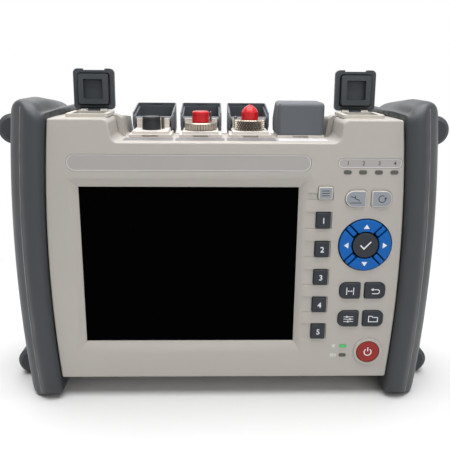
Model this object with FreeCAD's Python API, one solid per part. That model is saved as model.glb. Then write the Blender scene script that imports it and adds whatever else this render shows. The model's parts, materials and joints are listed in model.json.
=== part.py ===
import FreeCAD, Part
import math
import os
from FreeCAD import Vector

# Handheld optical time domain reflectometer, in millimetres.
# Built with the front face at y = 0 and the feet at z = 0: +X to the right, +Y to the back, +Z up.
# The last step moves everything so that the origin is the centre of the footprint.

# ---- casing ----
CASE_HALF = 95.2        # half width at the widest height
CASE_BOW_R = 760.0      # radius of the slightly bowed sides
CASE_BOW_Z = 80.0       # height of the widest place
CASE_BOTTOM = 12.5      # the bumpers hold the casing this far off the table
SHOULDER_Z = 158.0      # top of the two raised shoulders
DECK_Z = 146.2          # top of the port deck between them
DECK_FLARE = 1.7        # the recess is this much wider at the top, on each side
REAR_STEP = 2.9         # the recess is this much narrower in the rear casing, on each side
REAR_DECK_CORNER_R = 1.8
SLOPE_FRONT, SLOPE_BACK = 0.8, 4.0      # the rear shoulders fall from this to this below the front ones
SLOPE_HALF = 85.5       # half width of the sloping stretch
CASE_DEPTH = 66.0
PARTING_Y = 27.0        # joint between front and rear casing
WALL = 2.4
FRONT_WALL = 5.6
REAR_WALL = 6.2
LEDGE_Z = 138.0         # the deck steps down here so that the open lids can hang behind it
LEDGE_AHEAD = 0.6       # the step is this far in front of the lids' pivot
EDGE_R = 1.0
REAR_EDGE_R = 1.1
CORNER_R = 1.2          # outer corners of the casing, seen from the front
DECK_CORNER_R = 4.0
SHOULDER_R = 3.6

# ---- bumpers ----
BUMPER_GAP = 0.4        # shadow line between casing and bumper
BUMPER_THICK = 20.7
BUMPER_TOP = 167.7
BUMPER_PROUD = 5.0      # the front roll stands this far in front of the face
BUMPER_BACK = CASE_DEPTH + 2.6
BUMPER_BACK_TOP = 163.0 # the top falls gently from its crest to the back
CREST_Y = 24.0
TOE_R = 11.0            # rounding of the front end of the foot, seen from the side
HEEL_R = 4.0
BROW_R = 10.0
NAPE_R = 7.0
CREST_R = 40.0
FOOT_IN_R, FOOT_OUT_R = 12.5, 7.5
TOP_IN_R, TOP_OUT_R = 9.4, 9.5
ROLL_WIDTH = 12.0
SEAM_WIDTH = 0.7
SEAM_DEPTH = 0.9
FLAP_Y = 38.0           # the rear half laps over the casing's corners, with a slanting front edge
FLAP_TOE_Y = 9.0
FLAP_IN = 8.0           # reach of the lap, measured in from the widest place of the casing
FLAP_THICK = 3.6
FLAP_GAP = 0.3
BUFFER_R = 8.3
BUFFER_X = CASE_HALF + BUMPER_GAP + BUMPER_THICK + 1.0
BUFFER_Y = BUMPER_BACK - 34.6
BUFFER_WIDTH = 17.0
BUFFER_EDGE = 2.2
BUFFER_Z = (8.7, BUMPER_TOP - 17.7)
BUFFER_GAP = 0.1

# ---- display ----
SCREEN_W = 116.5
SCREEN_H = 88.7
SCREEN_X = -19.45
SCREEN_Z = 78.15
BEVEL_LEFT, BEVEL_RIGHT, BEVEL_BELOW, BEVEL_ABOVE = 5.3, 4.4, 6.7, 4.9
BEVEL_DEPTH = 2.8
LIP = 0.6
WINDOW_MARGIN = 2.4
WINDOW_THICK = 1.1
DISPLAY_THICK = 6.0

# ---- plates on the face ----
NAMEPLATE_W, NAMEPLATE_H = 126.8, 8.5
NAMEPLATE_X, NAMEPLATE_Z = -19.1, 135.6
STATUS_W, STATUS_H = 33.0, 5.0
STATUS_X, STATUS_Z = 75.3, 135.8
PLATE_RECESS = 0.7
PLATE_THICK = 0.5
PLATE_GAP = 0.2

# ---- keys ----
KEY_TRAVEL = 0.8
KEY_GAP = 0.3
KEY_PROUD = 1.2
KEY_FLANGE = 0.6        # the flange behind the wall reaches this far past the opening
FLANGE_THICK = 1.0
FLANGE_GAP = 0.15
KEY_EDGE_R = 0.5
SOFTKEY_X = 52.1
SOFTKEY_TOP_Z = 105.1
SOFTKEY_PITCH = 16.05
SOFTKEY_W, SOFTKEY_H = 7.6, 8.6
CHANNEL_DEPTH = 0.6
MENU_X, MENU_Z, MENU_W, MENU_H = 52.5, 120.0, 7.4, 6.8
PAIR_PITCH = 13.8
PAIR_X = 75.6
PAIR_ROWS = {"mode": (117.0, 10.8, 8.8), "marker": (65.2, 11.3, 9.2), "file": (48.6, 11.3, 9.2)}
PAD_X, PAD_Z = 75.4, 91.4
PAD_OUT_R = 14.1
PAD_WELL_R = PAD_OUT_R + 0.65
OK_R = 6.9
PAD_IN_R = OK_R + 0.7
DIVIDER_W = 2.6
DIVIDER_GAP = 0.7
POWER_X, POWER_Z, POWER_R = 81.0, 28.4, 6.4
RING_OUT_R, RING_PROUD = POWER_R + 1.8, 0.9
LED_W, LED_H, LED_PROUD, LED_GAP = 4.1, 2.0, 0.25, 0.1
STATUS_LED_X = (63.6, 71.7, 80.0, 88.2)
STATUS_LED_Z = 131.0
POWER_LEDS = {"on_led": (66.8, 31.7), "charge_led": (66.8, 26.1)}

# ---- boards inside ----
MAT_THICK = 1.2
MAT_GAP = 0.25          # left between a fully pressed key and the mat
BOARD_THICK = 1.6
BOARD_X = (MENU_X - 6.0, STATUS_LED_X[-1] + 1.4)
BOARD_Z = (POWER_LEDS["charge_led"][1] - 6.1, MENU_Z + 8.6)
BOARD_BOSSES = ((60.3, 125.2), (87.2, 125.2), (60.3, 23.2), (87.4, 39.4))
BOSS_R = 1.8
BOSS_GAP = 0.5
KEYPAD_BACK = FRONT_WALL + FLANGE_GAP + FLANGE_THICK + KEY_TRAVEL + MAT_GAP + MAT_THICK + BOARD_THICK
MAIN_BOARD_Y = KEYPAD_BACK + 3.4
MAIN_BOARD_HALF = 82.0
MAIN_BOARD_Z = (CASE_BOTTOM + 3.1, DECK_Z - 6.6)
POST_IN = MAIN_BOARD_HALF - 4.0
POST_Z = (MAIN_BOARD_Z[0] + 2.8, MAIN_BOARD_Z[1] - 2.8)
MAIN_POSTS = [(-POST_IN, POST_Z[1]), (POST_IN, POST_Z[1]), (-POST_IN, POST_Z[0]), (44.0, POST_Z[0])]
POST_R = 2.6
MODULE_BOX = (-74.0, 8.0, 46.0, 126.0)
MODULE_THICK = 15.0

# ---- casing screws ----
SCREW_X = CASE_HALF - 8.4
SCREW_Z = (CASE_BOTTOM + 6.1, SHOULDER_Z - 10.0)
SCREW_SPOTS = [(x, z) for z in SCREW_Z for x in (-SCREW_X, SCREW_X)]
SCREW_BOSS_R = 3.4
SCREW_R = 1.5
SCREW_HEAD_R = 2.6
SCREW_HEAD_H = 2.2
SCREW_SINK = 3.0
SCREW_TIP_Y = FRONT_WALL + 6.4
SCREW_GAP = 0.1

# ---- battery ----
PACK_HALF = 48.6
PACK_Z = (35.4, 92.6)
PACK_DEPTH = 21.0
PACK_GAP = 0.7
BAY_WALL = 2.0
DOOR_LAP = 2.7
DOOR_TOP_LAP = 7.0
DOOR_THICK = 2.3
DOOR_GAP = 0.25
DOOR_SCREW_X = 38.0
HOOK_X = (28.0, 36.0)
HOOK_THICK = 1.5
HOOK_REACH = 1.6

# ---- stand ----
STAND_HALF = 65.5
STAND_BAR = 7.0
STAND_THICK = 3.4
STAND_PIVOT_Z = 118.0
STAND_FOOT_Z = 19.5
STAND_GAP = 0.4
STAND_PIN_R = 1.1
STAND_PIN_OUT = 4.0

# ---- port bays on the deck ----
RIBBED_NUT_R, RIBBED_NUT_H = 9.0, 4.0
KNURLED_NUT_R, KNURLED_NUT_H = 8.0, 5.6
BAY_AXIS_Y = 31.5
BAY_FRONT = BAY_AXIS_Y - RIBBED_NUT_R - 1.7
BAY_W = 2 * RIBBED_NUT_R + 5.2          # bays 1 to 3
BLANK_BAY_W = BAY_W + 2.0               # bay 4
LID_W = BAY_W + 0.6
BLANK_LID_W = BLANK_BAY_W + 0.4
BAY_PITCH = LID_W + 3.7
DECK_HALF = 1.5 * BAY_PITCH + BLANK_BAY_W / 2 + 5.05    # half width of the recess, at the deck
PLINTH_H = 1.6
CORE_H = 3.4
CORE_INSET = 1.6
HINGE_WALL_T = 2.0
HINGE_WALL_HALF = 9.3
HINGE_WALL_TOP = 8.6    # above the deck
HINGE_RISE = 7.0        # pivot above the deck
HINGE_BACK = 3.0        # pivot behind the hinge wall
KNUCKLE_HALF = 3.4
KNUCKLE_R = 2.3
BARREL_R = 2.5
HINGE_PIN_R = 0.8
HINGE_BORE_R = HINGE_PIN_R + 0.05
HINGE_SIDE_GAP = 0.3
SLOT_HALF, SLOT_H, SLOT_DEEP = 4.2, 1.0, 1.2

# ---- bay lids ----
LID_WALL = 1.2
LID_SIDE_WALL = 1.6
LID_RIM_WALL = 0.7      # the walls are thinner round the rim, so that a step shows inside
LID_STEP = 2.0          # height of that step above the rim
LATCH_HALF, LATCH_H, LATCH_RISE, LATCH_SKIN = 3.2, 1.1, 0.5, 0.3
LID_TOP = 19.2          # above the deck
LID_RIM = 1.8           # above the deck
LID_FLAT = 5.6          # the flat top ends this far in front of the pivot
LID_TAIL = 3.6          # the cheeks reach this far behind the pivot
LID_TAIL_TOP = 4.6
LID_ROOF_END = 2.4
LID_EDGE_R = 2.3
LID_OPEN = 171.3        # degrees

# ---- connectors ----
FERRULE_R = 1.27
BARREL_FOOT = 6.0       # each connector body reaches this far below the deck
CONNECTORS = {1: (2.6, 9.4), 2: (3.2, 12.0), 3: (3.2, 13.6), 4: (3.2, 11.0)}
CONNECTOR_GAP = 0.1
NUT_GAP = 0.15
NUT_BORE_GAP = 0.05
RIB_COUNT = 36
CAP_R = 4.7
CAP_BORE_GAP = 0.1
CAP_LIFT = 0.15
BLACK_CAP_R, BLACK_CAP_TOP_R, BLACK_CAP_H = 5.2, 5.0, 7.2
GROOVE_DOWN, GROOVE_H, GROOVE_DEEP = 1.8, 0.4, 0.25    # ring groove below a cap's top
FLAT_CAP_H = 6.0
DOME_CAP_H = 8.1
DOME_START = 3.7
TIP_R, TIP_H = 0.9, 0.3
POST_SPOTS = ((1, 6.1, 3.5, 6.9, 0.9), (2, 5.6, 8.4, 9.4, 0.6), (3, -7.6, 6.9, 7.0, 0.8))

# ---- square ports on the shoulders ----
PORT_SQUARE = 16.3
PORT_GAP = 0.45
PORT_Y = 20.6
SIDE_W = PORT_SQUARE + 2 * PORT_GAP + 4.9
SIDE_X = DECK_HALF + DECK_FLARE + SIDE_W / 2 + 1.25
SIDE_FRONT = PORT_Y - PORT_SQUARE / 2 - 2.75
FRAME_H = 1.75
SIDE_PIVOT_Y = PORT_Y + PORT_SQUARE / 2 + 3.85
SIDE_PIVOT_RISE = 1.5   # above the shoulder
SIDE_BACK = SIDE_PIVOT_Y + 1.8
SIDE_KNUCKLE = (3.5, 7.3)
SIDE_KNUCKLE_R = 1.4
SIDE_PIN_R = 0.6
SIDE_BORE_R = SIDE_PIN_R + 0.05
SIDE_CAP_W = SIDE_W + 0.3
SIDE_CAP_FRONT = SIDE_FRONT - 0.1
SIDE_CAP_AHEAD = 0.8    # the cap's plate stops this far in front of its pivot
SIDE_CAP_RIM = 0.15     # above the frame
SIDE_CAP_T = 4.3
SIDE_CAP_PLATE = 2.3
SIDE_CAP_RIM_W = 2.2
PLUG_DROP = 2.6         # below the cap's rim
PLUG_POCKET = 10.6
PLUG_POCKET_DEEP = 3.2
NOTCH_HALF, NOTCH_DEEP = 6.2, 0.8
SIDE_TONGUE_HALF = 3.2
SIDE_OPEN = 93.0        # degrees
SOCKET_DEEP = 14.0
SOCKET_TOP_GAP = 1.3
SOCKET_GAP = 0.4


# ---------------------------------------------------------------- helpers

def box(x0, x1, y0, y1, z0, z1):
    """A box between two corners."""
    return Part.makeBox(x1 - x0, y1 - y0, z1 - z0, Vector(x0, y0, z0))


def cylinder_y(x, z, r, y0, y1):
    """A round bar from the front to the back."""
    return Part.makeCylinder(r, y1 - y0, Vector(x, y0, z), Vector(0, 1, 0))


def cylinder_z(x, y, r, z0, z1):
    """An upright round bar."""
    return Part.makeCylinder(r, z1 - z0, Vector(x, y, z0), Vector(0, 0, 1))


def cylinder_x(y, z, r, x0, x1):
    """A round bar from left to right."""
    return Part.makeCylinder(r, x1 - x0, Vector(x0, y, z), Vector(1, 0, 0))


def fused(shapes):
    """All the shapes as one solid."""
    first, *rest = shapes
    return first.multiFuse(rest).removeSplitter() if rest else first


def less(shape, cutters):
    """The shape without any of the cutters."""
    return shape.cut(Part.makeCompound(cutters))


def rounded_wire(points, radii, place):
    """A closed outline with a tangent arc at each corner. place turns (u, v) into a point."""
    corners = []
    count = len(points)
    for i, (u, v) in enumerate(points):
        here = Vector(u, v, 0)
        before = Vector(*points[i - 1], 0)
        after = Vector(*points[(i + 1) % count], 0)
        r = radii[i]
        if r == 0:
            corners.append((here, None, here))
            continue
        to_before = (before - here).normalize()
        to_after = (after - here).normalize()
        half = to_before.getAngle(to_after) / 2
        reach = r / math.tan(half)
        inward = (to_before + to_after).normalize()
        centre = here + inward * (r / math.sin(half))
        corners.append((here + to_before * reach, centre - inward * r, here + to_after * reach))
    edges = []
    for i, (start, middle, end) in enumerate(corners):
        if middle is not None:
            edges.append(Part.Arc(place(start), place(middle), place(end)).toShape())
        following = corners[(i + 1) % count][0]
        if (following - end).Length > 1e-6:
            edges.append(Part.LineSegment(place(end), place(following)).toShape())
    return Part.Wire(edges)


def plate(x, z, w, h, radii, y0, y1):
    """A plate facing the front, with corner radii from the lower left corner round to the upper left."""
    x0, x1, z0, z1 = x - w / 2, x + w / 2, z - h / 2, z + h / 2
    corners = [(x0, z0), (x1, z0), (x1, z1), (x0, z1)]
    outline = rounded_wire(corners, radii, lambda p: Vector(p.x, y0, p.y))
    return Part.Face(outline).extrude(Vector(0, y1 - y0, 0))


def slab(x, y, w, d, r, z0, z1):
    """An upright block with rounded vertical edges."""
    x0, x1, y0, y1 = x - w / 2, x + w / 2, y - d / 2, y + d / 2
    corners = [(x0, y0), (x1, y0), (x1, y1), (x0, y1)]
    outline = rounded_wire(corners, [r] * 4, lambda p: Vector(p.x, p.y, z0))
    return Part.Face(outline).extrude(Vector(0, 0, z1 - z0))


def profile_x(points, x0, x1):
    """A side profile of (y, z) points, carried from x0 to x1."""
    outline = Part.makePolygon([Vector(x0, y, z) for y, z in points + points[:1]])
    return Part.Face(outline).extrude(Vector(x1 - x0, 0, 0))


def rounded(shape, r, chosen):
    """The shape with the chosen edges rounded."""
    return shape.makeFillet(r, [edge for edge in shape.Edges if chosen(edge)])


def bevelled(shape, size, chosen):
    """The shape with a flat bevel along the chosen edges."""
    return shape.makeChamfer(size, [edge for edge in shape.Edges if chosen(edge)])


def runs_along(edge, axis):
    """True for a straight edge along the axis 'x', 'y' or 'z'."""
    size = edge.BoundBox
    lengths = {"x": size.XLength, "y": size.YLength, "z": size.ZLength}
    along = lengths.pop(axis)
    return along > 0.01 and max(lengths.values()) < 0.001


def at_y(edge, y):
    """True for an edge that lies in the plane y."""
    return abs(edge.BoundBox.YMin - y) < 0.001 and abs(edge.BoundBox.YMax - y) < 0.001


def mirrored(shape):
    """The same shape on the other side of the middle."""
    return shape.mirror(Vector(0, 0, 0), Vector(1, 0, 0))


# ---------------------------------------------------------------- casings

def case_half(z, inset=0.0):
    """Half width of the casing at a height, with the sides moved in by inset."""
    r = CASE_BOW_R - inset
    return CASE_HALF - CASE_BOW_R + math.sqrt(r * r - (z - CASE_BOW_Z) ** 2)


def case_block(inset, y0, y1, recess=DECK_HALF):
    """The casing's outline, moved in by inset, from y0 to y1, with half the width of its recess."""
    bottom, top, deck = CASE_BOTTOM + inset, SHOULDER_Z - inset, DECK_Z - inset
    inner, flare = recess + inset, DECK_FLARE
    low, wide, high = case_half(bottom, inset), case_half(CASE_BOW_Z, inset), case_half(top, inset)
    right = [Vector(low, y0, bottom), Vector(wide, y0, CASE_BOW_Z), Vector(high, y0, top)]
    left = [Vector(-p.x, y0, p.z) for p in reversed(right)]
    across = [right[2], Vector(inner + flare, y0, top), Vector(inner, y0, deck),
              Vector(-inner, y0, deck), Vector(-inner - flare, y0, top), left[0]]
    edges = [Part.Arc(*right).toShape(), Part.Arc(*left).toShape()]
    edges += [Part.LineSegment(a, b).toShape() for a, b in zip(across, across[1:])]
    edges.append(Part.LineSegment(left[2], right[0]).toShape())
    outline = Part.Wire(Part.__sortEdges__(edges))
    return Part.Face(outline).extrude(Vector(0, y1 - y0, 0))


def soften_case(block, y_face, face_r, deck_r):
    """Rounds the long edges of a casing half, then the rim of its outer face."""
    def is_deck_corner(edge):
        return runs_along(edge, "y") and edge.CenterOfMass.z < SHOULDER_Z - 1 and \
            abs(edge.CenterOfMass.x) < DECK_HALF + 1

    def is_shoulder_corner(edge):
        return runs_along(edge, "y") and edge.CenterOfMass.z > SHOULDER_Z - 1 and \
            abs(edge.CenterOfMass.x) < DECK_HALF + DECK_FLARE + 1

    def is_outer_corner(edge):
        return runs_along(edge, "y") and abs(edge.CenterOfMass.x) > DECK_HALF + DECK_FLARE + 10

    block = rounded(block, deck_r, is_deck_corner)
    block = rounded(block, SHOULDER_R, is_shoulder_corner)
    block = rounded(block, CORNER_R, is_outer_corner)
    return rounded(block, face_r, lambda edge: at_y(edge, y_face))


def screen_cut():
    """Sloping frame round the display, its opening, and the seat of the window behind."""
    x0, x1 = SCREEN_X - SCREEN_W / 2, SCREEN_X + SCREEN_W / 2
    z0, z1 = SCREEN_Z - SCREEN_H / 2, SCREEN_Z + SCREEN_H / 2
    ahead = 0.5
    grow = 1 + ahead / BEVEL_DEPTH
    outer = [(x0 - BEVEL_LEFT * grow, z0 - BEVEL_BELOW * grow),
             (x1 + BEVEL_RIGHT * grow, z0 - BEVEL_BELOW * grow),
             (x1 + BEVEL_RIGHT * grow, z1 + BEVEL_ABOVE * grow),
             (x0 - BEVEL_LEFT * grow, z1 + BEVEL_ABOVE * grow)]
    inner = [(x0, z0), (x1, z0), (x1, z1), (x0, z1)]
    front = Part.makePolygon([Vector(x, -ahead, z) for x, z in outer + outer[:1]])
    back = Part.makePolygon([Vector(x, BEVEL_DEPTH, z) for x, z in inner + inner[:1]])
    bevel = Part.makeLoft([front, back], True, True)
    m = WINDOW_MARGIN
    through = box(x0, x1, BEVEL_DEPTH - 0.1, BEVEL_DEPTH + LIP + 0.1, z0, z1)
    seat = box(x0 - m, x1 + m, BEVEL_DEPTH + LIP, FRONT_WALL + 0.1, z0 - m, z1 + m)
    return [bevel, through, seat]


def softkeys():
    """Name, x, z, width and height of the keys beside the display."""
    keys = [("menu_key", MENU_X, MENU_Z, MENU_W, MENU_H)]
    for i in range(5):
        z = SOFTKEY_TOP_Z - i * SOFTKEY_PITCH
        keys.append((f"soft_key_{i + 1}", SOFTKEY_X, z, SOFTKEY_W, SOFTKEY_H))
    return keys


def pair_keys():
    """Name, x, z, width, height and corner radii of the keys in left and right pairs."""
    names = {"mode": ("average_key", "auto_key"), "marker": ("marker_key", "escape_key"),
             "file": ("setup_key", "file_key")}
    blunt = 1.0
    keys = []
    for row, (z, w, h) in PAIR_ROWS.items():
        left, right = names[row]
        soft = 3.4 if row != "mode" else h / 2 - 0.2
        keys.append((left, PAIR_X - PAIR_PITCH / 2, z, w, h, (soft, blunt, blunt, soft)))
        keys.append((right, PAIR_X + PAIR_PITCH / 2, z, w, h, (blunt, soft, soft, blunt)))
    return keys


def key_cuts():
    """Openings for all the keys and lights, and the channels that lead to the display."""
    through = (-1.5, FRONT_WALL + 0.1)
    cuts = []
    start = SCREEN_X + SCREEN_W / 2 + BEVEL_RIGHT - 1.5
    for name, x, z, w, h in softkeys():
        cuts.append(plate(x, z, w + 2 * KEY_GAP, h + 2 * KEY_GAP, [1.0] * 4, *through))
        end = x + w / 2 + 0.9
        top = z + h / 2 + KEY_GAP + 0.1 if name != "menu_key" else z
        cuts.append(box(start, end, -1, CHANNEL_DEPTH, z - h / 2 - KEY_GAP - 0.1, top))
    for name, x, z, w, h, radii in pair_keys():
        grown = [r + KEY_GAP for r in radii]
        cuts.append(plate(x, z, w + 2 * KEY_GAP, h + 2 * KEY_GAP, grown, *through))
    cuts.append(cylinder_y(PAD_X, PAD_Z, PAD_WELL_R, *through))
    cuts.append(cylinder_y(POWER_X, POWER_Z, POWER_R + KEY_GAP, *through))
    for x, z in [(x, STATUS_LED_Z) for x in STATUS_LED_X] + list(POWER_LEDS.values()):
        r = LED_H / 2 + LED_GAP - 0.01
        cuts.append(plate(x, z, LED_W + 2 * LED_GAP, LED_H + 2 * LED_GAP, [r] * 4, *through))
    return cuts


def plate_recesses():
    """Shallow seats of the nameplate and the status plate."""
    cuts = []
    for x, z, w, h, r in ((NAMEPLATE_X, NAMEPLATE_Z, NAMEPLATE_W, NAMEPLATE_H, 4.0),
                          (STATUS_X, STATUS_Z, STATUS_W, STATUS_H, 2.3)):
        grown = [r + PLATE_GAP] * 4
        cuts.append(plate(x, z, w + 2 * PLATE_GAP, h + 2 * PLATE_GAP, grown, -1, PLATE_RECESS))
    return cuts


def top_cuts():
    """Holes through the deck and the shoulders for what is plugged in there."""
    cuts = []
    for bay, x in bay_places():
        r = CONNECTORS[bay][0] + CONNECTOR_GAP
        cuts.append(cylinder_z(x, BAY_AXIS_Y, r, DECK_Z - WALL - 1, DECK_Z + 1))
    side = PORT_SQUARE + 2 * PORT_GAP
    for x in (-SIDE_X, SIDE_X):
        cuts.append(slab(x, PORT_Y, side, side, 1.0, SHOULDER_Z - WALL - 1, SHOULDER_Z + 1))
    return cuts


def screw_bores(y0, y1, r):
    """One bore for each casing screw."""
    return [cylinder_y(x, z, r, y0, y1) for x, z in SCREW_SPOTS]


def front_casing():
    """Front shell: the face with its display frame, key openings and recesses."""
    block = soften_case(case_block(0, 0, PARTING_Y), 0, EDGE_R, DECK_CORNER_R)
    shell = block.cut(case_block(WALL, FRONT_WALL, PARTING_Y + 1))
    ring = cylinder_y(POWER_X, POWER_Z, RING_OUT_R, -RING_PROUD, 0.1)
    ring = rounded(ring, 0.45, lambda edge: at_y(edge, -RING_PROUD))
    inner = FRONT_WALL - 0.1
    bosses = [cylinder_y(x, z, BOSS_R, inner, mat_y() + MAT_THICK) for x, z in BOARD_BOSSES]
    posts = [cylinder_y(x, z, POST_R, inner, MAIN_BOARD_Y) for x, z in MAIN_POSTS]
    columns = [cylinder_y(x, z, SCREW_BOSS_R, inner, PARTING_Y) for x, z in SCREW_SPOTS]
    inside = Part.makeCompound(columns).common(case_block(WALL / 2, 0, PARTING_Y))
    shell = fused([shell, ring] + bosses + posts + inside.Solids)
    bores = screw_bores(SCREW_TIP_Y - 0.5, PARTING_Y + 1, SCREW_R + SCREW_GAP)
    return less(shell, screen_cut() + key_cuts() + plate_recesses() + top_cuts() + bores)


def shoulder_slope(depth):
    """What is taken off the rear shoulders behind the port frames, or the same lowered by depth."""
    start, end = SIDE_BACK + 0.3, CASE_DEPTH + 1
    front, back, above = SHOULDER_Z - SLOPE_FRONT - depth, SHOULDER_Z - SLOPE_BACK - depth, SHOULDER_Z + 5
    return profile_x([(start - depth, front), (end, back), (end, above), (start - depth, above)],
                     -SLOPE_HALF - depth, SLOPE_HALF + depth)


def rear_casing():
    """Rear shell: the back with its battery bay, stand groove and screw wells."""
    recess = DECK_HALF - REAR_STEP
    block = case_block(0, PARTING_Y, CASE_DEPTH, recess)
    block = soften_case(block, CASE_DEPTH, REAR_EDGE_R, REAR_DECK_CORNER_R)
    ledge_y = pivot()[0] - LEDGE_AHEAD
    step = box(-recess, recess, ledge_y, CASE_DEPTH + 1, LEDGE_Z, SHOULDER_Z + 5)
    inner = CASE_DEPTH - REAR_WALL
    cavity = case_block(WALL, PARTING_Y - 1, inner, recess)
    cavity = cavity.cut(box(-recess - WALL, recess + WALL, ledge_y - WALL,
                            CASE_DEPTH, LEDGE_Z - WALL, SHOULDER_Z))
    shell = block.cut(shoulder_slope(0)).cut(step).cut(cavity.cut(shoulder_slope(WALL)))
    half, z0, z1 = PACK_HALF + PACK_GAP, PACK_Z[0] - PACK_GAP, PACK_Z[1] + PACK_GAP
    bay_y = pack_back() - PACK_DEPTH
    t = BAY_WALL
    bay = box(-half - t, half + t, bay_y - t, inner + 0.1, z0 - t, z1 + t)
    columns = [cylinder_y(x, z, SCREW_BOSS_R, PARTING_Y, inner + 0.1) for x, z in SCREW_SPOTS]
    inside = Part.makeCompound(columns).common(case_block(WALL / 2, PARTING_Y, CASE_DEPTH))
    shell = fused([shell, bay] + inside.Solids)
    cuts = [box(-half, half, bay_y, CASE_DEPTH + 1, z0, z1)] + door_seat() + stand_groove()
    cuts += screw_bores(PARTING_Y - 1, CASE_DEPTH + 1, SCREW_R + SCREW_GAP)
    well = CASE_DEPTH - SCREW_SINK - SCREW_HEAD_H
    cuts += screw_bores(well, CASE_DEPTH + 1, SCREW_HEAD_R + 0.3)
    return less(shell, cuts + top_cuts())


def case_screws():
    """Four long screws that pull the casings together."""
    seat = CASE_DEPTH - SCREW_SINK - SCREW_HEAD_H
    screws = []
    for x, z in SCREW_SPOTS:
        head = cylinder_y(x, z, SCREW_HEAD_R, seat, seat + SCREW_HEAD_H)
        socket = cylinder_y(x, z, 1.2, seat + 1.0, seat + SCREW_HEAD_H + 1)
        shank = cylinder_y(x, z, SCREW_R, SCREW_TIP_Y, seat + 0.1)
        screws.append(fused([head, shank]).cut(socket))
    return screws


# ---------------------------------------------------------------- bumpers

def bumper_section(inner, z):
    """Plan of the right bumper at a height: front roll, seam, outer band and rounded back."""
    outer = inner + BUMPER_THICK
    seam = inner + ROLL_WIDTH
    band = seam + SEAM_WIDTH
    crest = inner + ROLL_WIDTH * 0.48
    back_r, band_y = 9.0, 15.0

    def at(x, y):
        return Vector(x, y, z)

    lines = [
        Part.Arc(at(inner, 0.6), at(inner + 1.5, -BUMPER_PROUD + 2.0), at(crest, -BUMPER_PROUD)),
        Part.Arc(at(crest, -BUMPER_PROUD), at(seam - 2.2, -BUMPER_PROUD + 1.3), at(seam, -1.2)),
        Part.LineSegment(at(seam, -1.2), at(seam, -1.2 + SEAM_DEPTH)),
        Part.LineSegment(at(seam, -1.2 + SEAM_DEPTH), at(band, -1.2 + SEAM_DEPTH)),
        Part.LineSegment(at(band, -1.2 + SEAM_DEPTH), at(band, -0.7)),
        Part.Arc(at(band, -0.7), at(outer - 1.9, 5.6), at(outer, band_y)),
        Part.LineSegment(at(outer, band_y), at(outer, BUMPER_BACK - back_r)),
        Part.Arc(at(outer, BUMPER_BACK - back_r),
                 at(outer - back_r * 0.293, BUMPER_BACK - back_r * 0.293),
                 at(outer - back_r, BUMPER_BACK)),
        Part.LineSegment(at(outer - back_r, BUMPER_BACK), at(inner + 2.5, BUMPER_BACK)),
        Part.Arc(at(inner + 2.5, BUMPER_BACK), at(inner + 0.73, BUMPER_BACK - 0.73),
                 at(inner, BUMPER_BACK - 2.5)),
        Part.LineSegment(at(inner, BUMPER_BACK - 2.5), at(inner, 0.6)),
    ]
    return Part.Face(Part.Wire([line.toShape() for line in lines]))


def bumper_front_outline():
    """Block with the bumper's outline seen from the front: rounded foot and top."""
    def outer(z):
        return case_half(z) + BUMPER_GAP + BUMPER_THICK

    foot_in, top_in = case_half(0) + BUMPER_GAP - 0.5, case_half(BUMPER_TOP) + BUMPER_GAP - 0.5
    low, high, slack = 40.0, 120.0, 0.3
    corners = [(foot_in, 0), (outer(0), 0), (outer(low) + slack, low), (outer(high) + slack, high),
               (outer(BUMPER_TOP), BUMPER_TOP), (top_in, BUMPER_TOP),
               (CASE_HALF - 12, high), (CASE_HALF - 12, low)]
    radii = [FOOT_IN_R, FOOT_OUT_R, 0, 0, TOP_OUT_R, TOP_IN_R, 0, 0]
    front = -BUMPER_PROUD - 1
    outline = rounded_wire(corners, radii, lambda p: Vector(p.x, front, p.y))
    return Part.Face(outline).extrude(Vector(0, BUMPER_BACK + 1 - front, 0))


def bumper_side_outline():
    """Block with the bumper's outline seen from the side: rounded toe, brow and back."""
    corners = [(-BUMPER_PROUD, 0), (BUMPER_BACK, 0), (BUMPER_BACK, BUMPER_BACK_TOP),
               (CREST_Y, BUMPER_TOP), (-BUMPER_PROUD, BUMPER_TOP)]
    radii = [TOE_R, HEEL_R, NAPE_R, CREST_R, BROW_R]
    near = CASE_HALF - 20
    outline = rounded_wire(corners, radii, lambda p: Vector(near, p.x, p.y))
    return Part.Face(outline).extrude(Vector(BUMPER_THICK + 30, 0, 0))


def bumper_right():
    """Rubber side bumper, bowed like the casing, with laps over the casing's rear corners."""
    inner = CASE_HALF + BUMPER_GAP
    section = bumper_section(inner, CASE_BOW_Z)
    pivot = Vector(CASE_HALF - CASE_BOW_R, 0, CASE_BOW_Z)
    up = math.degrees(math.asin((BUMPER_TOP - CASE_BOW_Z + 6) / CASE_BOW_R))
    down = math.degrees(math.asin((CASE_BOW_Z + 6) / CASE_BOW_R))
    section.rotate(pivot, Vector(0, 1, 0), down)
    body = section.revolve(pivot, Vector(0, -1, 0), up + down)
    body = body.common(bumper_front_outline()).common(bumper_side_outline())
    flap_in, flap_out = CASE_HALF - FLAP_IN, CASE_HALF + 4
    plan = [(flap_out, FLAP_TOE_Y), (case_half(SHOULDER_Z) - 0.5, FLAP_TOE_Y), (flap_in, FLAP_Y),
            (flap_in, BUMPER_BACK - 2.5), (flap_out, BUMPER_BACK - 2.5)]
    laps = []
    for low in (SHOULDER_Z + FLAP_GAP, CASE_BOTTOM - FLAP_GAP - FLAP_THICK):
        outline = rounded_wire(plan, [0, 0, 4.0, 1.5, 0], lambda p: Vector(p.x, p.y, low))
        laps.append(Part.Face(outline).extrude(Vector(0, 0, FLAP_THICK)))
    body = fused([body] + laps)
    pockets = [cylinder_y(BUFFER_X, z, BUFFER_R + BUFFER_GAP, BUFFER_Y - BUFFER_WIDTH / 2 - BUFFER_GAP,
                          BUFFER_Y + BUFFER_WIDTH / 2 + BUFFER_GAP) for z in BUFFER_Z]
    return less(body, pockets)


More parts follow.
